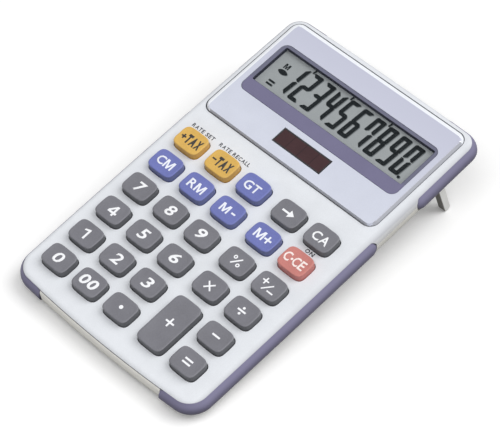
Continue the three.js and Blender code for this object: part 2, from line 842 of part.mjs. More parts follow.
function standRecessWalls() {
  const walls = standChannels(standRunGap + standRecessWall, recessCeiling + standRecessWall);
  const legFront = standHingeY - standLegLength - standFootRadius;
  const sides = [[everywhere.left, -standLegOuter], [standLegOuter, everywhere.right]];
  const besideLegs = sides.map(([left, right]) =>
    block({ left, right, front: legFront, rear: standHingeY + standRearReach }, 0, recessCeiling));
  return joined([walls, ...besideLegs]).intersect(caseOutside);
}

function cellRing() {
  const inner = cellRadius + cellRingGap;
  const ring = post(cellX, cellY, wall / 2, wall + cellRingHeight, inner + cellRingWall);
  const mouth = {
    left: cellX - contactWidth / 2 - seatGap,
    right: cellX + contactWidth / 2 + seatGap,
    front: cellY - inner - cellRingWall - cutOverrun,
    rear: cellY,
  };
  return cut(ring, [post(cellX, cellY, wall, caseHeight, inner), block(mouth, wall, caseHeight)]);
}

function rearCase() {
  const belowParting = block(everywhere, -cutOverrun, partingHeight - partingGap / 2);
  const skin = caseShell.intersect(belowParting.add(frontWallRegion(0)));
  const caseBosses = caseScrews.map(([x, y]) => post(x, y, wall / 2, caseBossTop, caseBossRadius));
  const posts = [-postX, postX].flatMap((x) =>
    [boardArea.front + postFromBoardEnd, boardArea.rear - postFromBoardEnd].map((y) =>
      post(x, y, wall / 2, boardBottom - seatGap, postRadius)));
  const full = joined([skin, standRecessWalls(), cellRing(), ...caseBosses, ...posts]);
  const screwHoles = caseScrews.flatMap(([x, y]) => [
    post(x, y, -cutOverrun, caseScrewSink + caseScrewHeadHeight + screwGap, counterboreRadius),
    post(x, y, -cutOverrun, caseBossTop + cutOverrun, caseScrewRadius + screwGap),
  ]);
  const footSeats = feet.map(([, x, y]) => post(x, y, -cutOverrun, footSeatDepth, footRadius + seatGap));
  const pinReach = standLegOuter + standPinLength + standRunGap;
  const pinHoles = pinAlongX(-pinReach, pinReach, standHingeY, hingeHeight, standPinRadius + standRunGap);
  const channels = standChannels(standRunGap, recessCeiling);
  return cut(full, [gripSeats, channels, pinHoles, ...screwHoles, ...footSeats]);
}

function foot(x, y) {
  return post(x, y, -footProud, footSeatDepth - seatGap, footRadius);
}

function geometryOf(shape) {
  if (shape.isBufferGeometry) {
    return shape;
  }
  const mesh = shape.getMesh();
  const geometry = new THREE.BufferGeometry();
  geometry.setAttribute('position', new THREE.BufferAttribute(mesh.vertProperties, 3));
  geometry.setIndex(new THREE.BufferAttribute(mesh.triVerts, 1));
  geometry.computeVertexNormals();
  return geometry;
}

// The calculator in the case's own frame
const calculator = new THREE.Group();

function place(name, shape, look) {
  const material = new THREE.MeshStandardMaterial({ metalness: 0, ...look });
  const mesh = new THREE.Mesh(geometryOf(shape), material);
  mesh.name = name;
  calculator.add(mesh);
  return mesh;
}

const shellLook = { color: 0xe3e6e9, roughness: 0.5 };
const rubberLook = { color: 0x8581a6, roughness: 0.75 };
const blackRubberLook = { color: 0x2b2b2d, roughness: 0.8 };
const brassLook = { color: 0xc9a94f, roughness: 0.35, metalness: 1 };
const steelLook = { color: 0xb9bcc0, roughness: 0.3, metalness: 1 };

place('top_cover', topCover(), shellLook);
place('rear_case', rearCase(), { color: 0xd8d6d2, roughness: 0.55 });
place('display_panel', displayPanel(), { color: 0xd6dbeb, roughness: 0.35 });
place('display_lens', roundedBlock(lensArea, lensCornerRadius, lensBottom, panelTop), {
  color: 0x8a87a8,
  roughness: 0.1,
});
place('solar_window', block(solarView, lensBottom, panelTop), { color: 0x3a2b2f, roughness: 0.1 });
place('lcd_glass', displayGlass(), { color: 0x969c9b, roughness: 0.2 });
place('solar_cell', block(solarCellArea, solarCellBottom, glassTop), { color: 0x52423f, roughness: 0.3 });
place('display_holder', displayHolder(), { color: 0x2e2e31, roughness: 0.6 });
place('lcd_ribbon', displayRibbon(), { color: 0xb58a3c, roughness: 0.5 });
place('solar_lead_positive', solarLead(leadSpacing / 2), { color: 0xb3262a, roughness: 0.5 });
place('solar_lead_negative', solarLead(-leadSpacing / 2), { color: 0x1d1d20, roughness: 0.5 });
place('key_mat', keyMat(), { color: 0xcfd0cc, roughness: 0.8 });
place('main_board', mainBoard(), { color: 0x2f6b42, roughness: 0.5 });
place('battery_cell', post(cellX, cellY, cellBottom, cellTop, cellRadius), steelLook);
place('battery_contact_plus', batteryContact(plusContactHeight, plusLandingHeight), brassLook);
place('battery_contact_minus', batteryContact(minusContactHeight, minusLandingHeight), brassLook);
place('stand', standSolid(), { color: 0xc4c4c4, roughness: 0.5 });
grips.forEach(([name, right, atFront]) => {
  place(name, gripBand.intersect(gripRegion(right, atFront, seatGap)), rubberLook);
});
feet.forEach(([name, x, y]) => place(name, foot(x, y), blackRubberLook));
caseScrews.forEach(([x, y], k) => {
  const shape = screw(x, y, caseScrewSink, caseScrewHeadHeight, caseScrewHeadRadius, caseScrewRadius);
  place(`case_screw_${k + 1}`, shape, steelLook);
});
boardScrews.forEach(([x, y], k) => {
  const headLow = boardBottom - seatGap - boardScrewHeadHeight;
  const shape = screw(x, y, headLow, boardScrewHeadHeight, boardScrewHeadRadius, boardScrewRadius);
  place(`board_screw_${k + 1}`, shape, steelLook);
});
keys.forEach((key) => place(key.name, keyGeometry(key.stretch), key.look).position.set(key.x, key.y, 0));

// The case leans back until the front feet and the foot of the stand touch one level surface
const standFootY = standHingeY + standLegLength * Math.sin(standLean);
const standFootZ = hingeHeight - standLegLength * Math.cos(standLean);
const reach = standFootY - (front + footFrontMargin - footRadius);
const drop = -footProud - standFootZ;
calculator.rotation.x = Math.atan2(drop, reach) + Math.asin(standFootRadius / Math.hypot(drop, reach));

// The origin is the middle of the bottom of the bounding box
const part = new THREE.Group();
part.add(calculator);
part.updateMatrixWorld(true);
const bounds = new THREE.Box3().setFromObject(part, true);
const middle = bounds.getCenter(new THREE.Vector3());
calculator.position.set(-middle.x, -middle.y, -bounds.min.z);

export default part;
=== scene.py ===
"""Desktop calculator on its fold-out stand: fine surfaces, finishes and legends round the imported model.

Pieces are drawn in millimetres in the case's own frame (+X right, +Y towards the display, +Z out of the keys,
zero at the middle of the underside) and placed by the CASE matrix.
"""
import json
import math

import bmesh
import bpy
from mathutils import Matrix, Vector


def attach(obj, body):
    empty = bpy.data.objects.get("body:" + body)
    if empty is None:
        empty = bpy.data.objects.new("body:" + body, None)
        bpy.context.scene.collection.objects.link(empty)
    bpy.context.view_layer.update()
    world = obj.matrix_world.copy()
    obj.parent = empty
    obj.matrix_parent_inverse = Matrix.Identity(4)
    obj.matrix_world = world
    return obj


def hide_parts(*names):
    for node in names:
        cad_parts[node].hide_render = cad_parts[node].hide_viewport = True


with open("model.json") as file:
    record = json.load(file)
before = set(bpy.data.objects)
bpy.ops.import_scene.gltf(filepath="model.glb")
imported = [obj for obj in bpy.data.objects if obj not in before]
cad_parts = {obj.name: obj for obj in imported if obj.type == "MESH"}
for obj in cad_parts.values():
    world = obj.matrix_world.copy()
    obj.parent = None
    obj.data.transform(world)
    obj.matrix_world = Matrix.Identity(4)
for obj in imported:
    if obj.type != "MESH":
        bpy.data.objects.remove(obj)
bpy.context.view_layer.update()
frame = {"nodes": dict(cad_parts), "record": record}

MM = 0.001

# The case leans back on its stand: its frame comes from the flat face of the underside
record = frame["record"]
underside = next(m for m in record["mounts"] if m["name"] == "underside")
down = Vector(underside["axis"])
CASE = Matrix.Translation(underside["pos_m"]) @ Matrix.Rotation(math.atan2(down.y, -down.z), 4, "X")
TO_CASE = CASE.inverted()
TURN_TO_CASE = TO_CASE.to_3x3()


def case_box(node):
    """Lowest and highest corners of a CAD node in the case's frame, in millimetres."""
    points = [TO_CASE @ v.co / MM for v in frame["nodes"][node].data.vertices]
    low = Vector([min(p[k] for p in points) for k in range(3)])
    high = Vector([max(p[k] for p in points) for k in range(3)])
    return low, high


# Case
REAR_LOW, REAR_HIGH = case_box("rear_case")
DECK = case_box("top_cover")[1].z
GRIP_BULGE = 0.9
HALF_WIDTH = case_box("grip_front_right")[1].x - GRIP_BULGE
FRONT_CORNER = 10
REAR_CORNER = 7.6
SIDE_CROWN = 0.4
FRONT_CROWN = 1.5
REAR_CROWN = 0.5
SHOULDER = 3
TUCK = 4.5
WALL = 1.8
PARTING = 6.8
GAP = 0.3
LAP_REACH = 38
CORNER_STEPS = 14
SIDE_STEPS = 24
ARC_STEPS = 9
ROUNDED_STEPS = 8

# Keys
KEY_FLANGE = 0.8
KEY_FLANGE_THICKNESS = 0.7
KEY_DRAFT = 0.02
KEY_EDGE = 0.5
KEY_CROWN = 0.3
KEY_RIM = 0.3
KEY_DISH = 0.2
KEY_HOLE_GAP = 0.3
KEY_BEND = 0.45
KEY_SIDES = 72
KEY_TOP_RINGS = (1, 0.96, 0.92, 0.87, 0.81, 0.72, 0.6, 0.4, 0.1)

# Display
PANEL_BEVEL = {"left": 2.6, "right": 1.2, "front": 0.5, "rear": 2.5}
PANEL_DROP = 1.4
PANEL_LIP = 0.15
PANEL_CORNER = 4.5
PANEL_POCKET = 1
PANEL_GROOVE = {"left": 0.6, "right": 0.25, "front": 0.5, "rear": 0.6}
LENS_CORNER = 3.5
VIEW_BORDER = 1.8
VIEW_LEDGE = 0.85
VIEW_SHIFT = 0.3
LCD_RAISE = 0.4

# Printing
PRINT_LIFT = 0.03
PRINT_DEPTH = 0.05
GRID = 1.0


def linear(rgb):
    """A colour written as sRGB levels from 0 to 255, as Blender's linear RGBA."""
    levels = [c / 255 for c in rgb]
    return [c / 12.92 if c <= 0.04045 else ((c + 0.055) / 1.055) ** 2.4 for c in levels] + [1]


# Materials
GLOSS_SPREAD = 0.06
PATCH = 9.0
TINT_LOW = 0.7
TINT_HIGH = 1.3


def feed(tree, node, *inputs, **named):
    """Gives a node its inputs, by order or by name: values, or other nodes' outputs."""
    for key, value in [*enumerate(inputs), *named.items()]:
        socket = node.inputs[key.replace("_", " ") if isinstance(key, str) else key]
        if isinstance(value, bpy.types.NodeSocket):
            tree.links.new(value, socket)
        else:
            socket.default_value = value


def add_node(tree, kind, *inputs, operation=None, **named):
    """The outputs of a new shader node with these inputs."""
    node = tree.nodes.new("ShaderNode" + kind)
    if operation:
        node.operation = operation
    feed(tree, node, *inputs, **named)
    return node.outputs


def colour_mix(tree, share, first, second):
    mix = tree.nodes.new("ShaderNodeMix")
    mix.data_type = "RGBA"
    feed(tree, mix, Factor=share, A=first, B=second)
    return mix.outputs["Result"]


def material(name, rgb, roughness, grain=0.45, depth=0.006, mottle=0.05, shine=0.5, **sockets):
    """A moulded surface: fine grain in the bump, and a slight variation of colour and gloss."""
    made = bpy.data.materials.new(name)
    made.use_nodes = True
    tree = made.node_tree
    place = add_node(tree, "TexCoord")["Object"]
    fine = add_node(tree, "TexNoise", place, Scale=1 / (grain * MM), Detail=3)["Fac"]
    broad = add_node(tree, "TexNoise", place, Scale=1 / (PATCH * MM), Detail=2)["Fac"]
    both = add_node(tree, "Math", fine, broad, operation="ADD")[0]
    tint = add_node(tree, "MapRange", both, TINT_LOW, TINT_HIGH)[0]
    dark, light = ([min(1, c * share) for c in linear(rgb)[:3]] + [1] for share in (1 - mottle, 1 + mottle))
    low, high = max(0, roughness - GLOSS_SPREAD), roughness + GLOSS_SPREAD
    feed(tree, tree.nodes["Principled BSDF"], Base_Color=colour_mix(tree, tint, dark, light),
         Roughness=add_node(tree, "MapRange", fine, To_Min=low, To_Max=high)[0],
         Normal=add_node(tree, "Bump", Distance=depth * MM, Height=fine)[0],
         Specular_IOR_Level=shine, **sockets)
    return made


def object_place(made):
    """The socket that gives a point's place on a material's object."""
    return next(n for n in made.node_tree.nodes if n.type == "TEX_COORD").outputs["Object"]


def mix_in(made, rgb, share):
    """Mixes a second colour into a material's base, by the value of a socket."""
    tree = made.node_tree
    base = tree.nodes["Principled BSDF"].inputs["Base Color"]
    tree.links.new(colour_mix(tree, share, base.links[0].from_socket, linear(rgb)), base)
    return made


def striped(made, rgb, pitch, width):
    """Adds thin lines of another colour, this many millimetres apart, to a material."""
    tree = made.node_tree
    across = add_node(tree, "SeparateXYZ", object_place(made))["X"]
    wrap = add_node(tree, "Math", across, pitch * MM / 2, operation="PINGPONG")[0]
    return mix_in(made, rgb, add_node(tree, "Math", wrap, width * MM / 2, operation="LESS_THAN")[0])


def faded(made, rgb, axis, start, end):
    """Lets a material's colour drift to another one along an axis of the case, between two places on it."""
    tree = made.node_tree
    direction = CASE.col[axis].to_3d()
    along = add_node(tree, "VectorMath", object_place(made), direction, operation="DOT_PRODUCT")["Value"]
    zero = direction.dot(CASE.translation)
    return mix_in(made, rgb, add_node(tree, "MapRange", along, zero + start * MM, zero + end * MM)[0])


COVER = material("cover_silver_white", (228, 231, 236), 0.6, mottle=0.04, shine=0.25)
# Painted shade: the right shoulder darkens, and the right wall below it a little less
faded(COVER, (196, 198, 203), 0, 51.8, 54.4)
faded(COVER, (218, 219, 220), 0, 54.5, 55)
CASE_GREY = material("case_warm_white", (226, 224, 217), 0.55, mottle=0.03)
# Painted light: the front wall lightens towards the front. Painted shade: the case darkens towards its
# underside
faded(CASE_GREY, (253, 251, 244), 1, -84, -88)
faded(CASE_GREY, (174, 172, 166), 2, 6.2, 2)
# Painted reflection: the panel is lighter and bluer at the front, darker towards the rear
PANEL = faded(material("panel_lavender", (210, 214, 228), 0.3, mottle=0.03), (197, 199, 217), 1, 32, 84)
# Painted highlight for the panel's left and rear bevels
PANEL_HIGHLIGHT = material("panel_polished_edge", (243, 246, 252), 0.2, mottle=0.01, Coat_Weight=0.3)
# Painted shade for the panel's narrow front and right edges
PANEL_EDGE_SHADE = material("panel_edge_grey", (172, 174, 182), 0.5, mottle=0.03)
# Painted shadow: a dark lining in the joints round the panel and over the front wall
SHADOW_GAP = material("joint_grey", (104, 105, 110), 0.8)
LENS_BORDER = material("lens_border_violet", (115, 112, 141), 0.45, mottle=0.05, shine=0.3)
faded(LENS_BORDER, (107, 108, 128), 1, 48.5, 50.5)
PANE = material("lens_clear", (70, 74, 76), 0.15, depth=0, mottle=0, Alpha=0.03, shine=0.1)
# Painted shadow: the dark wall round the display glass under the window
WINDOW_WALL_SHADE = material("window_gasket", (56, 58, 71), 0.6, shine=0.1)
LCD = material("lcd_reflector", (164, 169, 171), 0.6, grain=0.3, mottle=0.04, shine=0.2)
LCD_INK = material("lcd_segment", (26, 31, 34), 0.6, mottle=0.05, shine=0.1)
LCD_SHADOW = material("lcd_segment_shadow", (112, 117, 119), 0.6, mottle=0.05, shine=0.1)
SOLAR = striped(material("solar_window_brown", (68, 46, 49), 0.4, mottle=0.12, shine=0.15),
                (50, 36, 40), 7, 0.35)
# Painted shadow: the black border round the solar cell, on the ledge under the window
SOLAR_EDGE = material("solar_window_edge", (28, 25, 28), 0.35)
# Each key's top colour, a darker copy for its sides, which is painted shade, and its ink
KEY_LOOKS = {
    "key_grey": ((115, 115, 122), (86, 87, 91), (246, 247, 250)),
    "key_blue": ((106, 114, 178), (96, 103, 150), (238, 241, 250)),
    "key_amber": ((217, 174, 86), (205, 158, 76), (38, 36, 34)),
    "key_red": ((198, 124, 117), (196, 120, 115), (250, 236, 232)),
}
KEY_TOPS, KEY_SKIRT_SHADES, KEY_INKS = {}, {}, {}
for slot, (top_rgb, shaded_skirt_rgb, ink_rgb) in KEY_LOOKS.items():
    KEY_TOPS[slot] = material(slot + "_top", top_rgb, 0.42, grain=0.6, mottle=0.09)
    KEY_SKIRT_SHADES[slot] = material(slot + "_skirt", shaded_skirt_rgb, 0.55, grain=0.5, mottle=0.06)
    KEY_INKS[slot] = material(slot + "_ink", ink_rgb, 0.5, depth=0, mottle=0.01)
DECK_INK = material("deck_ink", (44, 46, 54), 0.5, depth=0, mottle=0.05)
GRIP = material("grip_violet", (46, 44, 56), 0.55, grain=0.35, depth=0.02, mottle=0.06, shine=0.15)
# Painted shade: the grip is dark at its underside and turns violet towards the top
faded(GRIP, (132, 129, 156), 2, 3.4, 9)
FOOT = material("foot_black", (44, 44, 46), 0.8, grain=0.6, depth=0.03)
STAND = material("stand_grey", (238, 238, 235), 0.5)
# Painted shade for the stand's faces towards the front
STAND_FRONT_SHADE = material("stand_front", (118, 115, 110), 0.6)
CARRIED_LOOKS = {
    "holder_plastic": material("holder_black", (46, 46, 49), 0.6),
    "ribbon_film": striped(material("ribbon_amber", (181, 138, 60), 0.4), (120, 80, 40), 0.8, 0.3),
    "red_wire": material("wire_red", (180, 40, 42), 0.5),
    "black_wire": material("wire_black", (32, 32, 35), 0.5),
    "mat_rubber": material("mat_silicone", (206, 208, 204), 0.7, Subsurface_Weight=0.1),
    "circuit_board": striped(material("board_green", (47, 107, 66), 0.45), (70, 140, 84), 2.4, 0.5),
    "bright_steel": material("steel", (190, 192, 195), 0.3, grain=0.3, Metallic=1.0),
    "contact_brass": material("brass", (205, 172, 90), 0.3, grain=0.3, Metallic=1.0),
    "solar_cell": striped(material("cell_brown", (60, 48, 52), 0.25), (110, 100, 100), 7, 0.25),
}


# Geometry: a part is a list of points and a list of faces
def skin(rings):
    """A closed skin through rings of equal point count, with a flat face at each end."""
    count = len(rings[0])
    points = [p for ring in rings for p in ring]
    faces = [tuple(reversed(range(count)))]
    for r in range(len(rings) - 1):
        for i in range(count):
            j = (i + 1) % count
            faces.append((r * count + i, r * count + j, (r + 1) * count + j, (r + 1) * count + i))
    last = (len(rings) - 1) * count
    faces.append(tuple(range(last, last + count)))
    return points, faces


def joined(parts):
    points, faces = [], []
    for part_points, part_faces in parts:
        start = len(points)
        points += part_points
        faces += [tuple(start + i for i in face) for face in part_faces]
    return points, faces


def prism(outline, low, high):
    return skin([[(x, y, z) for x, y in outline] for z in (low, high)])


def box(left, right, front, rear, low, high):
    return prism([(left, front), (right, front), (right, rear), (left, rear)], low, high)


def rounded(left, right, front, rear, radius):
    """A rectangle with round corners, counter-clockwise."""
    corners = [(right - radius, front + radius), (right - radius, rear - radius)]
    corners += [(left + radius, rear - radius), (left + radius, front + radius)]
    outline = []
    for quarter, (x, y) in enumerate(corners):
        for k in range(ROUNDED_STEPS + 1):
            angle = (quarter - 1 + k / ROUNDED_STEPS) * math.pi / 2
            outline.append((x + radius * math.cos(angle), y + radius * math.sin(angle)))
    return outline


def sides(low, high, inset=0.0):
    """Left, right, front and rear of a box, moved inwards."""
    return low.x + inset, high.x - inset, low.y + inset, high.y - inset


def quarter_turn(steps):
    return [k / steps * math.pi / 2 for k in range(steps + 1)]


def circle(x, y, radius, count=40):
    angles = [2 * math.pi * k / count for k in range(count)]
    return [(x + radius * math.cos(a), y + radius * math.sin(a)) for a in angles]


def turned(x, y, profile):
    """A round piece about a line along Z, from its (radius, height) profile."""
    return skin([[(px, py, z) for px, py in circle(x, y, radius)] for radius, z in profile])


def pin(left, right, y, z, radius):
    return skin([[(x, py, pz) for py, pz in circle(y, z, radius)] for x in (left, right)])


def new_object(name, data):
    obj = bpy.data.objects.new(name, data)
    bpy.context.scene.collection.objects.link(obj)
    return obj


def placed(name, mesh, looks, origin):
    """An object with this mesh, moved from the case's frame into the model's."""
    for look in looks:
        mesh.materials.append(look)
    mesh.transform(CASE @ Matrix.Translation(Vector(origin) * MM))
    return new_object(name, mesh)


def make(name, part, looks, origin=(0, 0, 0)):
    """An object in the case's frame, with its normals facing out."""
    points, faces = part
    mesh = bpy.data.meshes.new(name)
    mesh.from_pydata([Vector(p) * MM for p in points], [], faces)
    cleaned = bmesh.new()
    cleaned.from_mesh(mesh)
    bmesh.ops.recalc_face_normals(cleaned, faces=cleaned.faces)
    cleaned.to_mesh(mesh)
    cleaned.free()
    return placed(name, mesh, looks, origin)


def evaluated_mesh(obj):
    bpy.context.view_layer.update()
    return bpy.data.meshes.new_from_object(obj.evaluated_get(bpy.context.evaluated_depsgraph_get()))


def settle(obj):
    """Applies an object's modifiers to its mesh."""
    mesh = evaluated_mesh(obj)
    obj.modifiers.clear()
    obj.data = mesh


def boolean(obj, operation, *parts):
    tool = make("tool", joined(parts), [])
    modifier = obj.modifiers.new("boolean", "BOOLEAN")
    modifier.operation = operation
    modifier.solver = "EXACT"
    modifier.object = tool
    settle(obj)
    bpy.data.objects.remove(tool)


def cut(obj, *parts):
    boolean(obj, "DIFFERENCE", *parts)


def smooth(obj, angle=32):
    """Smooth shading with sharp edges kept, and flats kept flat."""
    obj.data.shade_smooth()
    obj.data.set_sharp_from_angle(angle=math.radians(angle))
    weighted = obj.modifiers.new("weighted", "WEIGHTED_NORMAL")
    weighted.keep_sharp = True
    settle(obj)
    return obj


def dress(piece, node=None, body="housing"):
    """Lets a piece ride on a body and the CAD node that it replaces."""
    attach(piece, body)
    if node:
        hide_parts(node)


# Case outline: u runs round it, one unit for each corner and each side, from the front right corner
SIDE_X = HALF_WIDTH - SIDE_CROWN - FRONT_CORNER
REAR_X = HALF_WIDTH - SIDE_CROWN - REAR_CORNER
FRONT_Y = REAR_LOW.y + FRONT_CROWN + FRONT_CORNER
REAR_Y = REAR_HIGH.y - REAR_CROWN - REAR_CORNER
CORNERS = [(SIDE_X, FRONT_Y, FRONT_CORNER), (REAR_X, REAR_Y, REAR_CORNER),
           (-REAR_X, REAR_Y, REAR_CORNER), (-SIDE_X, FRONT_Y, FRONT_CORNER)]
CROWNS = [SIDE_CROWN, REAR_CROWN, SIDE_CROWN, FRONT_CROWN]


def between(a, b, share):
    return a + (b - a) * share


def outline_point(u, out):
    """The point at u, moved outwards."""
    quarter = int(u // 2) % 4
    t = u % 2
    x, y, radius = CORNERS[quarter]
    radius += out
    if t < 1:
        angle = (quarter - 1 + t) * math.pi / 2
        return x + radius * math.cos(angle), y + radius * math.sin(angle)
    t -= 1
    next_x, next_y, next_radius = CORNERS[(quarter + 1) % 4]
    outward = quarter * math.pi / 2
    reach = between(radius, next_radius + out, t) + CROWNS[quarter] * 4 * t * (1 - t)
    x, y = between(x, next_x, t), between(y, next_y, t)
    return x + reach * math.cos(outward), y + reach * math.sin(outward)


ROUND = []
for half in range(8):
    steps = SIDE_STEPS if half % 2 else CORNER_STEPS
    ROUND += [half + k / steps for k in range(steps)]


def case_skin(profile):
    """A closed skin round the case's outline, through (inset, height) places."""
    return skin([[(*outline_point(u, -inset), z) for u in ROUND] for inset, z in profile])


def shoulder_profile():
    """The rounded edge between wall and deck, as (inset, height) from the wall up."""
    angles = quarter_turn(ARC_STEPS)
    return [(SHOULDER * (1 - math.cos(a)), DECK - SHOULDER * (1 - math.sin(a))) for a in angles]


def shoulder_inset(z):
    """How far in the rounded edge is at a height."""
    return SHOULDER * (1 - math.sqrt(1 - (1 - (DECK - z) / SHOULDER) ** 2))


# Keys: their places come from the CAD nodes
class Key:
    """A key's place and sizes, read from its CAD node."""

    usual_length = min(case_box(n)[1].y - case_box(n)[0].y for n in ("key_0", "key_1")) - 2 * KEY_FLANGE

    def __init__(self, name):
        low, high = case_box(name)
        self.name, self.slot = name, SLOTS[name]
        self.x, self.y = (low.x + high.x) / 2, (low.y + high.y) / 2
        self.half_x, self.half_y = (high.x - low.x) / 2 - KEY_FLANGE, self.usual_length / 2
        self.stretch = high.y - low.y - 2 * KEY_FLANGE - self.usual_length
        self.low, self.top = low.z, high.z

    def outline(self, grow):
        """A rounded rectangle round the key's middle, lengthened for a tall key."""
        outline = []
        for k, (c, s) in enumerate(circle(0, 0, 1, KEY_SIDES)):
            spread = 0 if k % (KEY_SIDES // 2) == 0 else math.copysign(self.stretch / 2, s)
            outline.append((math.copysign(abs(c) ** KEY_BEND, c) * (self.half_x + grow),
                            math.copysign(abs(s) ** KEY_BEND, s) * (self.half_y + grow) + spread))
        return outline

    def height(self, x, y):
        """Height of the top inside its rim, at a point measured from the key's middle."""
        bend = 2 / KEY_BEND
        inset = KEY_DRAFT + KEY_EDGE + KEY_RIM
        across = abs(x) / (self.half_x - inset)
        along = abs(y) / (self.half_y + self.stretch / 2 - inset)
        share = min(1, (across ** bend + along ** bend) ** (1 / bend))
        return self.top - KEY_CROWN - KEY_DISH * (1 - share ** 6)


SLOTS = {s["node"]: s["material_slot"] for s in record["subparts"]}
KEYS = [Key(n) for n in frame["nodes"] if n.startswith("key_") and n != "key_mat"]


def key_cap(key):
    """Flange, skirt, rounded edge, and a top that dips just inside it."""
    shoulder = key.top - KEY_CROWN - KEY_EDGE
    flange_top = key.low + KEY_FLANGE_THICKNESS
    profile = [(KEY_FLANGE, key.low), (KEY_FLANGE, flange_top), (0, flange_top)]
    skirt_faces = 1 + (len(profile) + 1) * KEY_SIDES
    profile += [(-KEY_DRAFT - KEY_EDGE * (1 - math.cos(a)), shoulder + KEY_EDGE * math.sin(a))
                for a in quarter_turn(6)]
    rings = [[(x, y, z) for x, y in key.outline(grow)] for grow, z in profile]
    edge = key.outline(-KEY_DRAFT - KEY_EDGE - KEY_RIM)
    for share in KEY_TOP_RINGS:
        rings.append([(x * share, y * share, key.height(x * share, y * share)) for x, y in edge])
    cap = make(key.name + "_cap", skin(rings), [KEY_TOPS[key.slot], KEY_SKIRT_SHADES[key.slot]], (key.x, key.y, 0))
    # The sides take the darker copy: painted shade
    for face in cap.data.polygons[:skirt_faces]:
        face.material_index = 1
    dress(smooth(cap, 40), key.name, body=key.name)
    return cap


# Printed marks: flat outlines in millimetres, or lettering, laid on a surface
def bar(x, y, length, width, degrees=0):
    a = math.radians(degrees)
    along = Vector((math.cos(a), math.sin(a))) * length / 2
    across = Vector((-math.sin(a), math.cos(a))) * width / 2
    middle = Vector((x, y))
    return [tuple(middle + p) for p in (-along - across, along - across, along + across, -along + across)]


def cross(x, y, size, width, degrees=0):
    a, b = size / 2, width / 2
    turn = Matrix.Rotation(math.radians(degrees), 2)
    outline = []
    for quarter in range(4):
        spin = turn @ Matrix.Rotation(math.pi / 2 * quarter, 2)
        outline += [tuple(Vector((x, y)) + spin @ Vector(p)) for p in [(a, -b), (a, b), (b, b)]]
    return outline


def ring_pieces(x, y, radius, hole):
    count = 24
    outer, inner = circle(x, y, radius, count), circle(x, y, hole, count)
    return [[outer[k], outer[(k + 1) % count], inner[(k + 1) % count], inner[k]] for k in range(count)]


def arrow(length, width, head):
    tip, neck = length / 2, length / 2 - head
    half, barb = width / 2, head * 0.72
    return [(-tip, -half), (neck, -half), (neck, -barb), (tip, 0), (neck, barb), (neck, half), (-tip, half)]


# Drawn letters, in a box of width w and height h with strokes s wide
def glyph_m(w, h, s):
    slant, low = 0.45 * s, 0.7 * h
    return [[(0, 0), (s, 0), (s, low), (w / 2 - slant, 0), (w / 2 + slant, 0), (w - s, low), (w - s, 0),
             (w, 0), (w, h), (w - 1.4 * s, h), (w / 2, 0.34 * h), (1.4 * s, h), (0, h)]]


def glyph_4(w, h, s):
    foot, a = 0.2 * h, 0.58 * w
    rise = h - foot - s
    return [[(a, 0), (a + s, 0), (a + s, h), (a, h)], [(0, foot), (a, foot), (a, foot + s), (0, foot + s)],
            [(a + s, foot), (w, foot), (w, foot + s), (a + s, foot + s)],
            [(0, foot + s), (1.2 * s, foot + s), (a, h - 1.2 * s * rise / a), (a, h)]]


def glyph_1(w, h, s):
    a, flag = w - s, 0.84 * h
    return [[(a, 0), (w, 0), (w, h), (w - 0.7 * s, h), (0, flag), (0, flag - 0.8 * s),
             (a, flag + 0.1 * h - 0.8 * s)]]


# The underscore stands for a dash with a space before it
GLYPHS = {"M": glyph_m, "4": glyph_4, "1": glyph_1,
          "+": lambda w, h, s: [cross(w / 2, h * 0.46, w, s)],
          "-": lambda w, h, s: [bar(w / 2, h * 0.46, w, s)],
          "_": lambda w, h, s: [bar(0.67 * w, h * 0.46, 0.66 * w, s)],
          ".": lambda w, h, s: [circle(w / 2, h * 0.48, 0.6 * s, 16)]}
GLYPH_WIDTHS = {"M": 1.2, "1": 0.62, "+": 0.95, "-": 0.85, "_": 0.85, ".": 0.3, "G": 1.08, "T": 0.95,
                "A": 1.05, "E": 0.82, " ": 0.35, "L": 0.75, "S": 0.9}
WELD = 1e-4


def font_glyph(letter, width, height, weight, lean):
    """A flat mesh of one letter of the built-in typeface, stretched to this box."""
    curve = bpy.data.curves.new("letter", "FONT")
    curve.body = letter
    curve.offset = weight
    curve.resolution_u = 3
    curve.shear = lean
    made = new_object("letter", curve)
    flat = evaluated_mesh(made)
    bpy.data.objects.remove(made)
    for axis, size in enumerate((width, height)):
        places = [v.co[axis] for v in flat.vertices]
        low, high = min(places), max(places)
        for v in flat.vertices:
            v.co[axis] = (v.co[axis] - low) / (high - low) * size
    return flat


def welded(shape):
    """Joins a flat mesh's doubled points and cuts its faces into triangles."""
    bmesh.ops.remove_doubles(shape, verts=shape.verts, dist=WELD)
    bmesh.ops.triangulate(shape, faces=shape.faces[:])
    return shape


def lettering(text, width, height, weight=0.02, stroke=0.85, space=0.1, lean=0.0):
    """A flat mesh of the lettering in a box of this width and height, centred on zero."""
    shape = bmesh.new()
    shares = [GLYPH_WIDTHS.get(letter, 1) for letter in text]
    unit = width / (sum(shares) + space * (len(text) - 1))
    left = -width / 2
    for letter, share in zip(text, shares):
        if letter in GLYPHS:
            for outline in GLYPHS[letter](share * unit, height, stroke):
                shape.faces.new([shape.verts.new((x + left, y - height / 2, 0)) for x, y in outline])
        elif letter != " ":
            flat = font_glyph(letter, share * unit, height, weight, lean)
            for v in flat.vertices:
                v.co.x += left
                v.co.y -= height / 2
            shape.from_mesh(flat)
        left += (share + space) * unit
    return welded(shape)


def outlines(shapes):
    """A flat mesh of closed outlines."""
    drawn = bmesh.new()
    for outline in shapes:
        drawn.faces.new([drawn.verts.new((x, y, 0)) for x, y in outline])
    return welded(drawn)


def gridded(shape):
    """Cuts a flat mesh on a grid, so that it can follow a curved surface."""
    reach = int(max(max(abs(v.co.x), abs(v.co.y)) for v in shape.verts) / GRID) + 1
    for normal in (Vector((1, 0, 0)), Vector((0, 1, 0))):
        for k in range(-reach, reach + 1):
            bmesh.ops.bisect_plane(shape, geom=shape.verts[:] + shape.edges[:] + shape.faces[:],
                                   plane_co=normal * k * GRID, plane_no=normal)


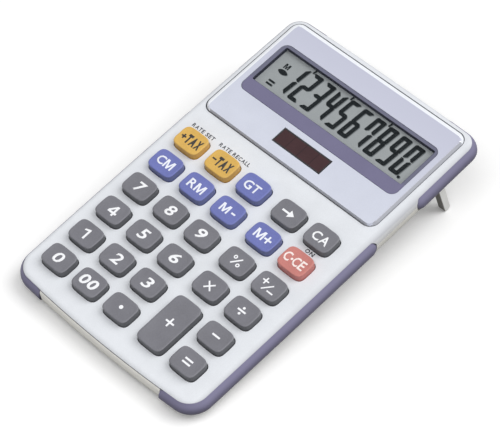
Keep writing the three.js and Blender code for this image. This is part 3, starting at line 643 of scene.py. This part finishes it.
def print_on(name, shape, height, ink, origin):
    """A printed mark as a thin solid film. Its height is a number, or for a curved top a function."""
    curved = callable(height)
    if curved:
        gridded(shape)
    for v in shape.verts:
        v.co.z = (height(v.co.x, v.co.y) if curved else height) + PRINT_LIFT
    bmesh.ops.recalc_face_normals(shape, faces=shape.faces)
    if sum(f.normal.z * f.calc_area() for f in shape.faces) < 0:
        bmesh.ops.reverse_faces(shape, faces=shape.faces)
    sunk = bmesh.ops.extrude_face_region(shape, geom=shape.faces[:], use_keep_orig=True)
    for v in [g for g in sunk["geom"] if isinstance(g, bmesh.types.BMVert)]:
        v.co.z -= PRINT_LIFT + PRINT_DEPTH
    for v in shape.verts:
        v.co *= MM
    bmesh.ops.recalc_face_normals(shape, faces=shape.faces)
    mesh = bpy.data.meshes.new(name)
    shape.to_mesh(mesh)
    shape.free()
    return placed(name, mesh, [ink], origin)


STROKE = 0.85
SYMBOLS = {
    "key_point": [circle(0, 0, 0.95, 24)],
    "key_equals": [bar(0, 0.95, 4.4, STROKE), bar(0, -0.95, 4.4, STROKE)],
    "key_minus": [bar(0, 0, 4.2, STROKE)],
    "key_plus": [cross(0, 0, 4.6, STROKE)],
    "key_multiply": [cross(0, 0, 5.2, STROKE * 0.85, 45)],
    "key_divide": [bar(0, 0, 4.4, STROKE), circle(0, 1.55, 0.62, 20), circle(0, -1.55, 0.62, 20)],
    "key_percent": [bar(0, 0, 5.6, STROKE * 0.8, 50), *ring_pieces(-1.75, 1.35, 0.95, 0.42),
                    *ring_pieces(1.75, -1.35, 0.95, 0.42)],
    "key_sign": [cross(-2.6, 1.1, 3.3, 0.7), bar(0.1, -0.9, 5.6, 0.62, 48), bar(2.6, -2.3, 3.3, 0.7)],
    "key_backspace": [arrow(6.6, 0.95, 2.8)],
}
# Lettering of a key, with its width and height, and where it differs its weight and stroke
WORDS = {
    "key_00": ("00", 9.3, 5.2, 0.03),
    "key_memory_clear": ("CM", 9.0, 4.5),
    "key_memory_recall": ("RM", 9.0, 4.5),
    "key_memory_minus": ("M_", 8.3, 4.2),
    "key_memory_plus": ("M+", 9.2, 4.5),
    "key_grand_total": ("GT", 8.4, 4.5),
    "key_clear_all": ("CA", 8.6, 4.5),
    "key_clear": ("C.CE", 11.1, 4.7, 0.02, 1.0),
    "key_tax_add": ("+TAX", 11.2, 5.0, 0.06, 0.8),
    "key_tax_subtract": ("-TAX", 10.8, 5.0, 0.06, 0.8),
    "key_1": ("1", 2.914, 5.3, 0.02, 1.0),
}
DIGIT_STYLE = (4.7, 5.3, 0.02, 1.0)
DIGIT_LEAN = 0.14
# Legends that are printed a little off the middle of their key
OFF_CENTRE = {
    "key_0": (-0.2, 0), "key_00": (-0.3, 0), "key_1": (-0.5, 0), "key_2": (0.2, 0), "key_4": (0.5, 0),
    "key_7": (0.6, -0.2), "key_8": (0.4, 0), "key_clear": (-0.5, 0), "key_grand_total": (-0.4, -0.3),
    "key_memory_clear": (-0.3, 0.2), "key_memory_minus": (0.25, 0.1), "key_memory_plus": (0.1, 0.2),
    "key_minus": (0.3, 0.3), "key_plus": (0, 0.4), "key_point": (0.1, 0.3), "key_6": (0, 0.2),
    "key_backspace": (-0.25, 0), "key_clear_all": (0.1, -0.3), "key_divide": (-0.2, -0.1),
    "key_sign": (-0.15, 0), "key_tax_add": (0.2, 0), "key_multiply": (0, -0.2),
}


def key_legend(key, cap):
    if key.name in SYMBOLS:
        shape = outlines(SYMBOLS[key.name])
    else:
        text, *style = WORDS.get(key.name, (key.name.removeprefix("key_"), *DIGIT_STYLE))
        shape = lettering(text, *style, lean=DIGIT_LEAN if text.isdigit() else 0)
    across, along = OFF_CENTRE.get(key.name, (0, 0))
    for v in shape.verts:
        v.co.x += across
        v.co.y += along
    mark = print_on(key.name + "_legend", shape, key.height, KEY_INKS[key.slot], (key.x, key.y, 0))
    mark.parent = cap


# Grips: a bulged band round each corner, with a straight cut in front and a round end on the side
GRIP_FACE = [(0, -0.8), (0.02, -0.3), (0.15, 0.6), (0.36, 1), (0.55, 0.93), (0.7, 0.58), (0.86, -0.2),
             (1, -0.95)]
GRIP_SEAT = 1
GRIP_SWELL = 0.35
GRIP_STEPS = 120
GRIP_TIP = 0.04
FRONT_GRIP_SHIFT = 1.8
REAR_GRIP_SHIFT = 1.2
# The rear grips lie almost flush on the rear side, and reach their full bulge at this u
FLUSH = 0.95
FLUSH_END = 2.3
GRIPS = {"grip_front_left": (False, True), "grip_front_right": (True, True),
         "grip_rear_left": (False, False), "grip_rear_right": (True, False)}


def curve_through(points, steps):
    """Points on a smooth curve through the given ones."""
    result = []
    for k in range(len(points) - 1):
        before, start = Vector(points[max(k - 1, 0)]), Vector(points[k])
        end, after = Vector(points[k + 1]), Vector(points[min(k + 2, len(points) - 1)])
        for step in range(steps):
            t = step / steps
            bend = (2 * before - 5 * start + 4 * end - after) * t * t
            twist = (3 * start - before - 3 * end + after) * t * t * t
            result.append(tuple((2 * start + (end - before) * t + bend + twist) / 2))
    result.append(tuple(points[-1]))
    return result


def grip_path(at_front, grow):
    """Values of u from the straight cut to the round end, with the share of the reach at each."""
    low, high = case_box("grip_front_right" if at_front else "grip_rear_right")
    cut_x = low.x - grow
    length = REAR_Y - FRONT_Y
    if at_front:
        start = 7 + (cut_x + SIDE_X) / (2 * SIDE_X)
        end = 9 + (high.y + FRONT_GRIP_SHIFT + grow - FRONT_Y) / length
    else:
        start = 3 + (REAR_X - cut_x) / (2 * REAR_X)
        end = 1 + (low.y + REAR_GRIP_SHIFT - grow - FRONT_Y) / length
    taper = math.copysign(((high.z - low.z) / 2 + grow) / length, end - start)
    path = [(between(start, end - taper, k / GRIP_STEPS), 1.0) for k in range(GRIP_STEPS + 1)]
    for a in quarter_turn(12)[1:]:
        path.append((end - taper + taper * math.sin(a), max(GRIP_TIP, math.cos(a))))
    return path


def grip_part(right, at_front, grow=0.0):
    """Grown, it is the cutter for the grip's seat."""
    low, high = case_box("grip_front_right")
    bottom, top = low.z - grow, high.z + grow
    middle = (bottom + top) / 2
    inner = GAP - GRIP_SEAT - grow
    bulge = GRIP_BULGE + (GRIP_SWELL if right else 0)
    if grow:
        section = [(inner, bottom), (bulge + grow, bottom), (bulge + grow, top), (inner, top)]
    else:
        section = curve_through([(out * bulge, between(bottom, top, up)) for up, out in GRIP_FACE], 3)
    rings = []
    for u, share in grip_path(at_front, grow):
        flush = 0 if at_front or grow else min(1, max(0, u - FLUSH_END)) * FLUSH
        ring = []
        for out, z in section:
            x, y = outline_point(u % 8, inner + (out - inner) * share - max(0, out) * flush)
            ring.append((x if right else -x, y, middle + (z - middle) * share))
        rings.append(ring)
    return skin(rings)


def add_grips():
    for name, (right, at_front) in GRIPS.items():
        grip = smooth(make(name + "_moulding", grip_part(right, at_front), [GRIP]), 50)
        dress(grip, name)


def grip_seats():
    return [grip_part(right, at_front, GAP) for right, at_front in GRIPS.values()]


# Cover and rear case. Their flat faces have one more ring or two near the rounded edge, for even shading
NEAR_RING = 0.2
INSIDE_RING = 0.6
FAR_RING = 1
LEAST_STEP = 0.05
WINDOW_GAP = 0.5


def add_cover():
    profile = [(SHOULDER + INSIDE_RING, DECK - WALL), (SHOULDER, DECK - WALL), (WALL, DECK - SHOULDER),
               (WALL, PARTING + GAP / 2), (0, PARTING + GAP / 2), *shoulder_profile(),
               (SHOULDER + NEAR_RING, DECK), (SHOULDER + FAR_RING, DECK)]
    cover = make("cover_shell", case_skin(profile), [COVER])
    through = DECK - 2 * WALL, DECK + WALL
    pocket = prism(groove_outline(), DECK - PANEL_POCKET, DECK + WALL)
    reach = LAP_REACH + GAP
    lap = box(-reach, reach, REAR_LOW.y - WALL, REAR_LOW.y + 2 * WALL, 0, REAR_HIGH.z + GAP)
    holes = [prism([(key.x + x, key.y + y) for x, y in key.outline(KEY_HOLE_GAP)], *through) for key in KEYS]
    cut(cover, pocket, lap, *holes)
    cut(cover, *grip_seats())
    cut(cover, *[box(*sides(*case_box(node), -WINDOW_GAP), *through) for node in ("lcd_glass", "solar_cell")])
    dress(smooth(cover), "top_cover")


# Stand, whose sizes are repeated from the model
STAND_HUB = 2
STAND_FOOT = 1.85
STAND_BAR = 1.8
STAND_PIN = 1.2
STAND_LEG = 23
STAND_LEAN = math.radians(8.2)
STAND_HINGE = Vector((REAR_HIGH.y - 24.3, 2.3))
STAND_OUTER = 51.5
STAND_INNER = 47.6
STAND_REACH = case_box("stand")[1].x
STAND_EDGE = 0.45
STAND_STEPS = 18
RECESS_WALL = 1.5


def leg_outline(inset):
    foot_y = STAND_HINGE.x + STAND_LEG * math.sin(STAND_LEAN)
    foot_z = STAND_HINGE.y - STAND_LEG * math.cos(STAND_LEAN)
    outline = []
    for y, z, radius, start in [(*STAND_HINGE, STAND_HUB, STAND_LEAN),
                                (foot_y, foot_z, STAND_FOOT, STAND_LEAN + math.pi)]:
        angles = [start + math.pi * k / STAND_STEPS for k in range(STAND_STEPS + 1)]
        outline += [(y + (radius - inset) * math.cos(a), z + (radius - inset) * math.sin(a)) for a in angles]
    return outline


def leg(left, right):
    sections = [(STAND_EDGE * (1 - math.sin(a)), left + STAND_EDGE * (1 - math.cos(a)))
                for a in quarter_turn(4)]
    sections += [(inset, left + right - x) for inset, x in reversed(sections)]
    return skin([[(x, y, z) for y, z in leg_outline(inset)] for inset, x in sections])


def add_stand():
    across = (STAND_INNER + STAND_OUTER) / 2
    parts = [leg(STAND_INNER, STAND_OUTER), leg(-STAND_OUTER, -STAND_INNER),
             pin(-across, across, *STAND_HINGE, STAND_BAR), pin(across, STAND_REACH, *STAND_HINGE, STAND_PIN),
             pin(-STAND_REACH, -across, *STAND_HINGE, STAND_PIN)]
    stand = smooth(make("stand_moulding", joined(parts), [STAND, STAND_FRONT_SHADE]), 40)
    # Faces towards the front take the darker copy: painted shade
    for face in stand.data.polygons:
        if (TURN_TO_CASE @ face.normal).y < -0.5:
            face.material_index = 1
    dress(stand, "stand", body="stand")


def stand_channel(gap, low, high):
    """The room for the folded stand, as one U-shaped block in plan."""
    rear = STAND_HINGE.x + STAND_HUB / math.cos(STAND_LEAN) + STAND_HINGE.y * math.tan(STAND_LEAN) + gap
    cross_front = STAND_HINGE.x - STAND_HUB - gap
    leg_front = STAND_HINGE.x - STAND_LEG - STAND_FOOT - gap
    outer, inner = STAND_OUTER + gap, STAND_INNER - gap
    outline = [(-outer, leg_front), (-inner, leg_front), (-inner, cross_front), (inner, cross_front)]
    outline += [(inner, leg_front), (outer, leg_front), (outer, rear), (-outer, rear)]
    return prism(outline, low, high)


SCREW_HOLE = 1.4
COUNTERBORE = 2.7
COUNTERBORE_DEPTH = 2.8
BOSS_RADIUS = 3.9
BOSS_TOP = PARTING - 2.6
FEET = ["foot_front_left", "foot_front_right", "foot_rear_left", "foot_rear_right"]
FOOT_SEAT = 0.6
FOOT_EDGE = 0.5
FOOT_RIM = 0.9
FOOT_DISH = 0.25


def round_plan(node):
    """Middle and radius of a round CAD node, seen from above."""
    low, high = case_box(node)
    return (low.x + high.x) / 2, (low.y + high.y) / 2, (high.x - low.x) / 2


def add_rear_case():
    top = REAR_HIGH.z
    tuck = [(TUCK * (1 - math.sin(a)), TUCK * (1 - math.cos(a))) for a in quarter_turn(ARC_STEPS)]
    shoulder = [(inset, z) for inset, z in shoulder_profile() if z < top - LEAST_STEP]
    profile = [(TUCK + INSIDE_RING, 0), *tuck, *shoulder, (shoulder_inset(top), top), (SHOULDER, top),
               (WALL, DECK - SHOULDER), (WALL, TUCK), (TUCK, WALL), (TUCK + FAR_RING, WALL)]
    rear = make("rear_shell", case_skin(profile), [CASE_GREY])
    screws = [round_plan(f"case_screw_{k}")[:2] for k in (1, 2, 3, 4)]
    recess = STAND_HINGE.y + STAND_HUB + GAP
    bosses = [turned(*place, [(BOSS_RADIUS, WALL / 2), (BOSS_RADIUS, BOSS_TOP)]) for place in screws]
    boolean(rear, "UNION", stand_channel(GAP + RECESS_WALL, WALL / 2, recess + RECESS_WALL), *bosses)
    far_x, far_y = HALF_WIDTH + WALL, REAR_HIGH.y + WALL
    lap_rear = REAR_LOW.y + 2 * WALL - GAP
    above = [(-far_x, -far_y), (-LAP_REACH, -far_y), (-LAP_REACH, lap_rear), (LAP_REACH, lap_rear)]
    above += [(LAP_REACH, -far_y), (far_x, -far_y), (far_x, far_y), (-far_x, far_y)]
    cut(rear, prism(above, PARTING - GAP / 2, DECK + WALL))
    hole = [(COUNTERBORE, -WALL), (COUNTERBORE, COUNTERBORE_DEPTH), (SCREW_HOLE, COUNTERBORE_DEPTH),
            (SCREW_HOLE, PARTING)]
    holes = [turned(*place, hole) for place in screws]
    for x, y, radius in map(round_plan, FEET):
        holes.append(turned(x, y, [(radius + GAP, -WALL), (radius + GAP, FOOT_SEAT)]))
    cut(rear, stand_channel(GAP, -WALL, recess), *holes)
    cut(rear, *grip_seats())
    reach = STAND_REACH + GAP
    cut(rear, *[pin(left, right, *STAND_HINGE, STAND_PIN + GAP)
                for left, right in ((STAND_INNER, reach), (-reach, -STAND_INNER))])
    dress(smooth(rear), "rear_case")


def add_feet():
    for name in FEET:
        low, high = case_box(name)
        x, y, radius = round_plan(name)
        profile = [(radius - FOOT_RIM - NEAR_RING, low.z + FOOT_DISH), (radius - FOOT_RIM, low.z)]
        profile += [(radius - FOOT_EDGE * (1 - math.sin(a)), low.z + FOOT_EDGE * (1 - math.cos(a)))
                    for a in quarter_turn(4)]
        foot = make(name + "_moulding", turned(x, y, [*profile, (radius, high.z)]), [FOOT])
        dress(smooth(foot, 40), name)


# Display panel, lens and window
PANEL_FIT = 0.2
SOLAR_LEDGE = 0.8
SOLAR_BORDER = 0.55
BEVEL_MARGIN = 0.1
EDGE_STEEPNESS = 0.5
BEVEL_STEEPNESS = 0.09
JOINT_WALL = 0.15
JOINT_FLOOR = 0.1
JOINT_DROP = 0.08
JOINT_DEPTHS = (0.05, 0.9)
JOINT_END = 0.2
RIM = 0.12
VIEW_CORNER = 0.7
PANE_GAP = 0.14
PANE_DROP = 0.05
PANE_THICKNESS = 0.3
GASKET_FOOT = 0.02
GASKET_DROP = 0.03
SOLAR_DROP = 0.04


def add_panel():
    low, high = case_box("display_panel")
    top, edge = high.z, high.z - PANEL_DROP
    rings = [[(x, y, low.z) for x, y in rounded(*sides(low, high), PANEL_CORNER)]]
    for a in quarter_turn(12):
        z, swell = edge + PANEL_DROP * math.sin(a), 1 - math.cos(a)
        slope = min(1, (z - DECK) / (top - PANEL_LIP - DECK)) - PANEL_LIP
        slope = min(1, slope + PANEL_LIP * swell) if z > top - PANEL_LIP else max(0, slope)
        corner = PANEL_CORNER - (PANEL_BEVEL["rear"] - 0.3) * swell
        plan = rounded(low.x + PANEL_BEVEL["left"] * swell, high.x - PANEL_BEVEL["right"] * slope,
                       low.y + PANEL_BEVEL["front"] * slope, high.y - PANEL_BEVEL["rear"] * swell, corner)
        rings.append([(x, y, z) for x, y in plan])
    panel = make("panel_moulding", skin(rings), [PANEL, PANEL_EDGE_SHADE, PANEL_HIGHLIGHT])
    lens, solar = case_box("display_lens"), case_box("solar_window")
    seat = lens[0].z - GAP
    cut(panel, prism(rounded(*sides(*lens, -PANEL_FIT), LENS_CORNER + PANEL_FIT), seat, top + 1),
        box(*sides(*solar, -PANEL_FIT), seat, top + 1))
    through = low.z - 1, top + 1
    cut(panel, box(*sides(*view_box()), *through), box(*sides(*solar, SOLAR_LEDGE), *through))
    smooth(panel)
    # The narrow front and right edges are painted shade, and the bevels at the left and rear a painted
    # highlight
    left, right = low.x + PANEL_BEVEL["left"] + BEVEL_MARGIN, high.x - PANEL_BEVEL["right"] - BEVEL_MARGIN
    front, rear = low.y + PANEL_BEVEL["front"] + BEVEL_MARGIN, high.y - PANEL_BEVEL["rear"] - BEVEL_MARGIN
    for face in panel.data.polygons:
        place, normal = TO_CASE @ face.center / MM, TURN_TO_CASE @ face.normal
        by_edge = place.z > DECK - 1 and (place.x > right or place.y < front)
        if by_edge and max(normal.x, -normal.y) > EDGE_STEEPNESS:
            face.material_index = 1
        inside = left < place.x < right and front < place.y < rear
        if place.z > edge and max(-normal.x, normal.y) > BEVEL_STEEPNESS and not inside:
            face.material_index = 2
    dress(panel, "display_panel")


def groove_outline(inset=0.0):
    """The outline of the groove round the panel, which is wider on the far sides."""
    left, right, front, rear = sides(*case_box("display_panel"), inset)
    return rounded(left - PANEL_GROOVE["left"], right + PANEL_GROOVE["right"], front - PANEL_GROOVE["front"],
                   rear + PANEL_GROOVE["rear"], PANEL_CORNER + PANEL_GROOVE["front"] - inset)


def add_panel_gap():
    """A dark lining in the joint round the panel: painted shadow."""
    floor, rim = DECK - PANEL_POCKET, DECK - JOINT_DROP
    lining = make("panel_joint", prism(groove_outline(), floor, rim), [SHADOW_GAP])
    cut(lining, prism(groove_outline(JOINT_WALL), floor + JOINT_FLOOR, rim + 1))
    cut(lining, prism(groove_outline(PANEL_CORNER), floor - 1, rim))
    dress(lining)


def add_front_joint():
    """A dark lining in the joint over the front wall of the rear case: painted shadow."""
    low, high = REAR_HIGH.z, REAR_HIGH.z + GAP
    margin = (SIDE_X - LAP_REACH + JOINT_END) / (2 * SIDE_X)
    rings = []
    for k in range(SIDE_STEPS + 1):
        u = between(7 + margin, 8 - margin, k / SIDE_STEPS)
        a, b = (outline_point(u, -shoulder_inset(low) - depth) for depth in JOINT_DEPTHS)
        rings.append([(*a, low), (*b, low), (*b, high), (*a, high)])
    dress(make("front_joint", skin(rings), [SHADOW_GAP]))


def view_box():
    """The part of the display glass that shows."""
    low, high = case_box("lcd_glass")
    return (Vector((low.x + VIEW_BORDER, low.y + VIEW_LEDGE + VIEW_BORDER)),
            Vector((high.x - VIEW_BORDER + VIEW_SHIFT, high.y - VIEW_BORDER + VIEW_SHIFT / 2)))


def add_lens():
    """A clear window with a printed border round the view."""
    low, high = case_box("display_lens")
    rings = []
    for inset, z in [(0, low.z), (0, high.z - RIM), (RIM, high.z)]:
        rings.append([(x, y, z) for x, y in rounded(*sides(low, high, inset), LENS_CORNER - inset)])
    border = make("lens_border", skin(rings), [LENS_BORDER])
    cut(border, prism(rounded(*sides(*view_box()), VIEW_CORNER), low.z - 1, high.z + 1))
    dress(smooth(border), "display_lens")
    plan = rounded(*sides(*view_box(), PANE_GAP), VIEW_CORNER)
    pane = prism(plan, high.z - PANE_DROP - PANE_THICKNESS, high.z - PANE_DROP)
    dress(make("lens_pane", pane, [PANE]))


def add_gasket():
    """The wall round the display glass, seen through the window, dark with painted shadow."""
    top = case_box("display_lens")[1].z
    glass = case_box("lcd_glass")[1].z + LCD_RAISE
    gasket = make("window_gasket", box(*sides(*view_box()), glass + GASKET_FOOT, top - GASKET_DROP), [WINDOW_WALL_SHADE])
    cut(gasket, box(*sides(*view_box(), RIM), glass - 1, top + 1))
    dress(gasket)


def add_solar_window():
    low, high = case_box("solar_window")
    inside = sides(low, high, SOLAR_BORDER)
    pane = make("solar_pane", box(*inside, low.z, high.z - SOLAR_DROP), [SOLAR])
    dress(pane, "solar_window")
    # The black border is painted shadow on the ledge
    edge = make("solar_border", box(*sides(low, high), low.z, high.z), [SOLAR_EDGE])
    cut(edge, box(*inside, low.z - 1, high.z + 1))
    dress(edge)


# Display: ten slanted digits of seven segments, with the marks beside them
DIGIT_PITCH = 7.53
DIGIT_LEFT = -33.96
DIGIT_WIDTH = 5.56
DIGIT_BOTTOM = 51.75
DIGIT_TOP = 69.4
DIGIT_HEIGHT = DIGIT_TOP - DIGIT_BOTTOM
DIGIT_SLANT = 1.2 / DIGIT_HEIGHT
SEGMENT = 2.0
SEGMENT_GAP = 0.12
CHAMFER = 0.6
# The lit segments of the digits, which are 1 to 9 and 0
DIGITS = ["bc", "abged", "abgcd", "fgbc", "afgcd", "afgedc", "fabc", "abcdefg", "gfabcd", "abcdef"]
COMMAS_AFTER = (0, 3, 6)
COMMA = [(0.75, -0.9), (1.65, -0.9), (1.9, 1.2), (1.1, 1.2)]
LCD_SHIFT = Vector((0.9, 0.2, 0))
SHADOW_SHIFT = Vector((0.45, -0.15, 0))
MEMORY_PLACE = Vector((-38.6, 63.9, 0))
PLATE = 0.7


def segment_shapes():
    """Outlines of the seven segments in a digit's box, with mitred ends."""
    w, h, t, g, c = DIGIT_WIDTH, DIGIT_HEIGHT, SEGMENT, SEGMENT_GAP, CHAMFER
    half, tip = h / 2, t * 0.6 + g
    shapes = {
        "a": [(g + c, h), (w - g - c, h), (w - g, h - c * 0.8), (w - 0.75 * t, h - t), (0.75 * t, h - t),
              (g, h - c * 0.8)],
        "g": [(g * 2, half), (tip, half + t / 2), (w - tip, half + t / 2), (w - g * 2, half),
              (w - tip, half - t / 2), (tip, half - t / 2)],
        "f": [(0, h - g - c), (c * 0.6, h - g - 0.5 * c), (t, h - t), (t, half + t / 2 + g),
              (t * 0.5, half + g * 1.2), (0, half + g * 2)],
    }
    shapes["d"] = [(x, h - y) for x, y in shapes["a"]]
    shapes["e"] = [(x, h - y) for x, y in shapes["f"]]
    shapes["b"] = [(w - x, y) for x, y in shapes["f"]]
    shapes["c"] = [(w - x, h - y) for x, y in shapes["f"]]
    return shapes


def lcd_marks():
    """The digits, with the marks between, after and before them."""
    segments = segment_shapes()
    marks = []
    for k, letters in enumerate(DIGITS):
        left = DIGIT_LEFT + DIGIT_PITCH * k
        for letter in letters:
            marks.append([(left + x - DIGIT_SLANT * (DIGIT_HEIGHT - y), DIGIT_BOTTOM + y)
                          for x, y in segments[letter]])
        if k in COMMAS_AFTER:
            marks.append([(left + DIGIT_WIDTH + x, DIGIT_TOP + y) for x, y in COMMA])
    marks.append(circle(39.1, DIGIT_BOTTOM, 0.75, 16))
    marks += [bar(-38.5, DIGIT_BOTTOM + y, 3.5, 1.0) for y in (2.1, 0.3)]
    marks.append([(-38.2 + 2.7 * x, 60.5 + 1.35 * y * abs(y) ** 0.5) for x, y in circle(0, 0, 1, 24)])
    return marks


def add_lcd():
    low, high = case_box("lcd_glass")
    top = high.z + LCD_RAISE
    plate = make("lcd_plate", box(*sides(low, high), high.z - PLATE, top), [LCD])
    dress(plate, "lcd_glass")
    below = top - PRINT_LIFT / 2
    memory = lettering("M", 2.9, 2.9, stroke=0.7)
    marks = [("lcd_digit_shadows", outlines(lcd_marks()), below, LCD_SHADOW, LCD_SHIFT + SHADOW_SHIFT),
             ("lcd_digits", outlines(lcd_marks()), top, LCD_INK, LCD_SHIFT),
             ("lcd_memory_mark", memory, top, LCD_INK, LCD_SHIFT + MEMORY_PLACE)]
    for mark in marks:
        dress(print_on(*mark))


# Words on the deck, with their place and width
DECK_PRINTS = {"rate_set_print": ("RATE SET", -40.95, 14.9, 13.2),
               "rate_recall_print": ("RATE RECALL", -21.7, 14.9, 18.2), "on_print": ("ON", 38.1, -0.55, 4.7)}


def add_deck_prints():
    for name, (text, x, y, width) in DECK_PRINTS.items():
        shape = lettering(text, width, 2.0, 0.03, space=0.2)
        dress(print_on(name, shape, DECK - PRINT_LIFT / 2, DECK_INK, (x, y, 0)))


def dress_carried_nodes():
    """CAD nodes that stay get their slot's finish."""
    for name, obj in frame["nodes"].items():
        look = CARRIED_LOOKS.get(SLOTS[name])
        if look:
            obj.data.materials.clear()
            obj.data.materials.append(look)


# Stage, light and camera
FLOOR_REACH = 6.0
FLOOR_GLOW = 0.09
FLOOR_SEEN = 1.0
FLOOR_BOUNCE = 0.4
DOME = 0.39
# The main lamp's level on a horizontal surface, its place in metres and how wide it is
SOFTBOX = 0.3
SOFTBOX_PLACE = Vector((0.15, -0.3, 0.74))
SOFTBOX_WIDTH = 0.6
# The far lamp, from behind, whose shadow falls towards the front
RIM_LIGHT = 0.37
RIM_PLACE = Vector((0.4, 0.42, 0.75))
RIM_SPREAD = math.radians(45)
# The photograph's view: from the front right, above, with a slight roll
AZIMUTH, ELEVATION, ROLL = (math.radians(a) for a in (46.324, 50.219, 1.779))
DISTANCE = 1016.71
AIM = Vector((6.43, -5.06, 23.14))
LENS = 172.8


def seen_directly(tree):
    """1 for rays from the camera, a reflection or a clear piece, 0 for the rays that light the object."""
    path = add_node(tree, "LightPath")
    seen = path["Is Camera Ray"]
    for kind in ("Is Glossy Ray", "Is Transmission Ray"):
        seen = add_node(tree, "Math", seen, path[kind], operation="MAXIMUM")[0]
    return seen


def add_floor():
    mesh = bpy.data.meshes.new("floor")
    corners = [(x * FLOOR_REACH, y * FLOOR_REACH, 0) for x, y in ((-1, -1), (1, -1), (1, 1), (-1, 1))]
    mesh.from_pydata(corners, [], [(0, 1, 2, 3)])
    made = bpy.data.materials.new("floor_white")
    made.use_nodes = True
    tree = made.node_tree
    seen = seen_directly(tree)
    bounce, full = ([level] * 3 + [1] for level in (FLOOR_BOUNCE, FLOOR_SEEN))
    shader = tree.nodes["Principled BSDF"]
    feed(tree, shader, Base_Color=colour_mix(tree, seen, bounce, full), Roughness=0.9, Specular_IOR_Level=0)
    level = add_node(tree, "Math", seen, FLOOR_GLOW, operation="MULTIPLY")[0]
    glow = add_node(tree, "Emission", (1, 1, 1, 1), level)[0]
    feed(tree, tree.nodes["Material Output"], Surface=add_node(tree, "AddShader", shader.outputs[0], glow)[0])
    mesh.materials.append(made)
    new_object("floor", mesh)


def add_light():
    world = bpy.data.worlds.new("studio")
    bpy.context.scene.world = world
    world.use_nodes = True
    tree = world.node_tree
    level = add_node(tree, "MapRange", seen_directly(tree), To_Min=DOME, To_Max=1)[0]
    feed(tree, tree.nodes["Background"], Color=(1, 1, 1, 1), Strength=level)
    rim = bpy.data.lights.new("rim_light", "SUN")
    rim.energy = RIM_LIGHT * math.pi / RIM_PLACE.normalized().z
    rim.angle = RIM_SPREAD
    add_lamp(rim, RIM_PLACE)
    softbox = bpy.data.lights.new("softbox", "AREA")
    softbox.shape = "DISK"
    softbox.size = SOFTBOX_WIDTH
    softbox.energy = SOFTBOX * math.pi ** 2 * SOFTBOX_PLACE.length ** 2 / SOFTBOX_PLACE.normalized().z
    add_lamp(softbox, SOFTBOX_PLACE).visible_camera = False


def add_lamp(lamp, place):
    obj = new_object(lamp.name, lamp)
    obj.location = place
    obj.rotation_euler = place.to_track_quat("Z", "Y").to_euler()
    return obj


def add_camera():
    back = Vector((math.sin(AZIMUTH) * math.cos(ELEVATION), -math.cos(AZIMUTH) * math.cos(ELEVATION),
                   math.sin(ELEVATION)))
    level = Vector((math.cos(AZIMUTH), math.sin(AZIMUTH), 0))
    right = level * math.cos(ROLL) - back.cross(level) * math.sin(ROLL)
    turn = Matrix((right, back.cross(right), back)).transposed().to_4x4()
    camera = bpy.data.cameras.new("camera")
    camera.lens = LENS
    camera.sensor_width = 36
    camera.clip_start, camera.clip_end = 0.05, 50
    obj = new_object("camera", camera)
    obj.matrix_world = Matrix.Translation((AIM + back * DISTANCE) * MM) @ turn
    bpy.context.scene.camera = obj


bpy.context.scene.view_settings.view_transform = "Standard"
for add in (add_camera, add_light, add_floor, dress_carried_nodes, add_cover, add_rear_case, add_grips,
            add_feet, add_stand, add_panel, add_panel_gap, add_front_joint, add_lens, add_gasket,
            add_solar_window, add_lcd, add_deck_prints):
    add()
for key in KEYS:
    key_legend(key, key_cap(key))
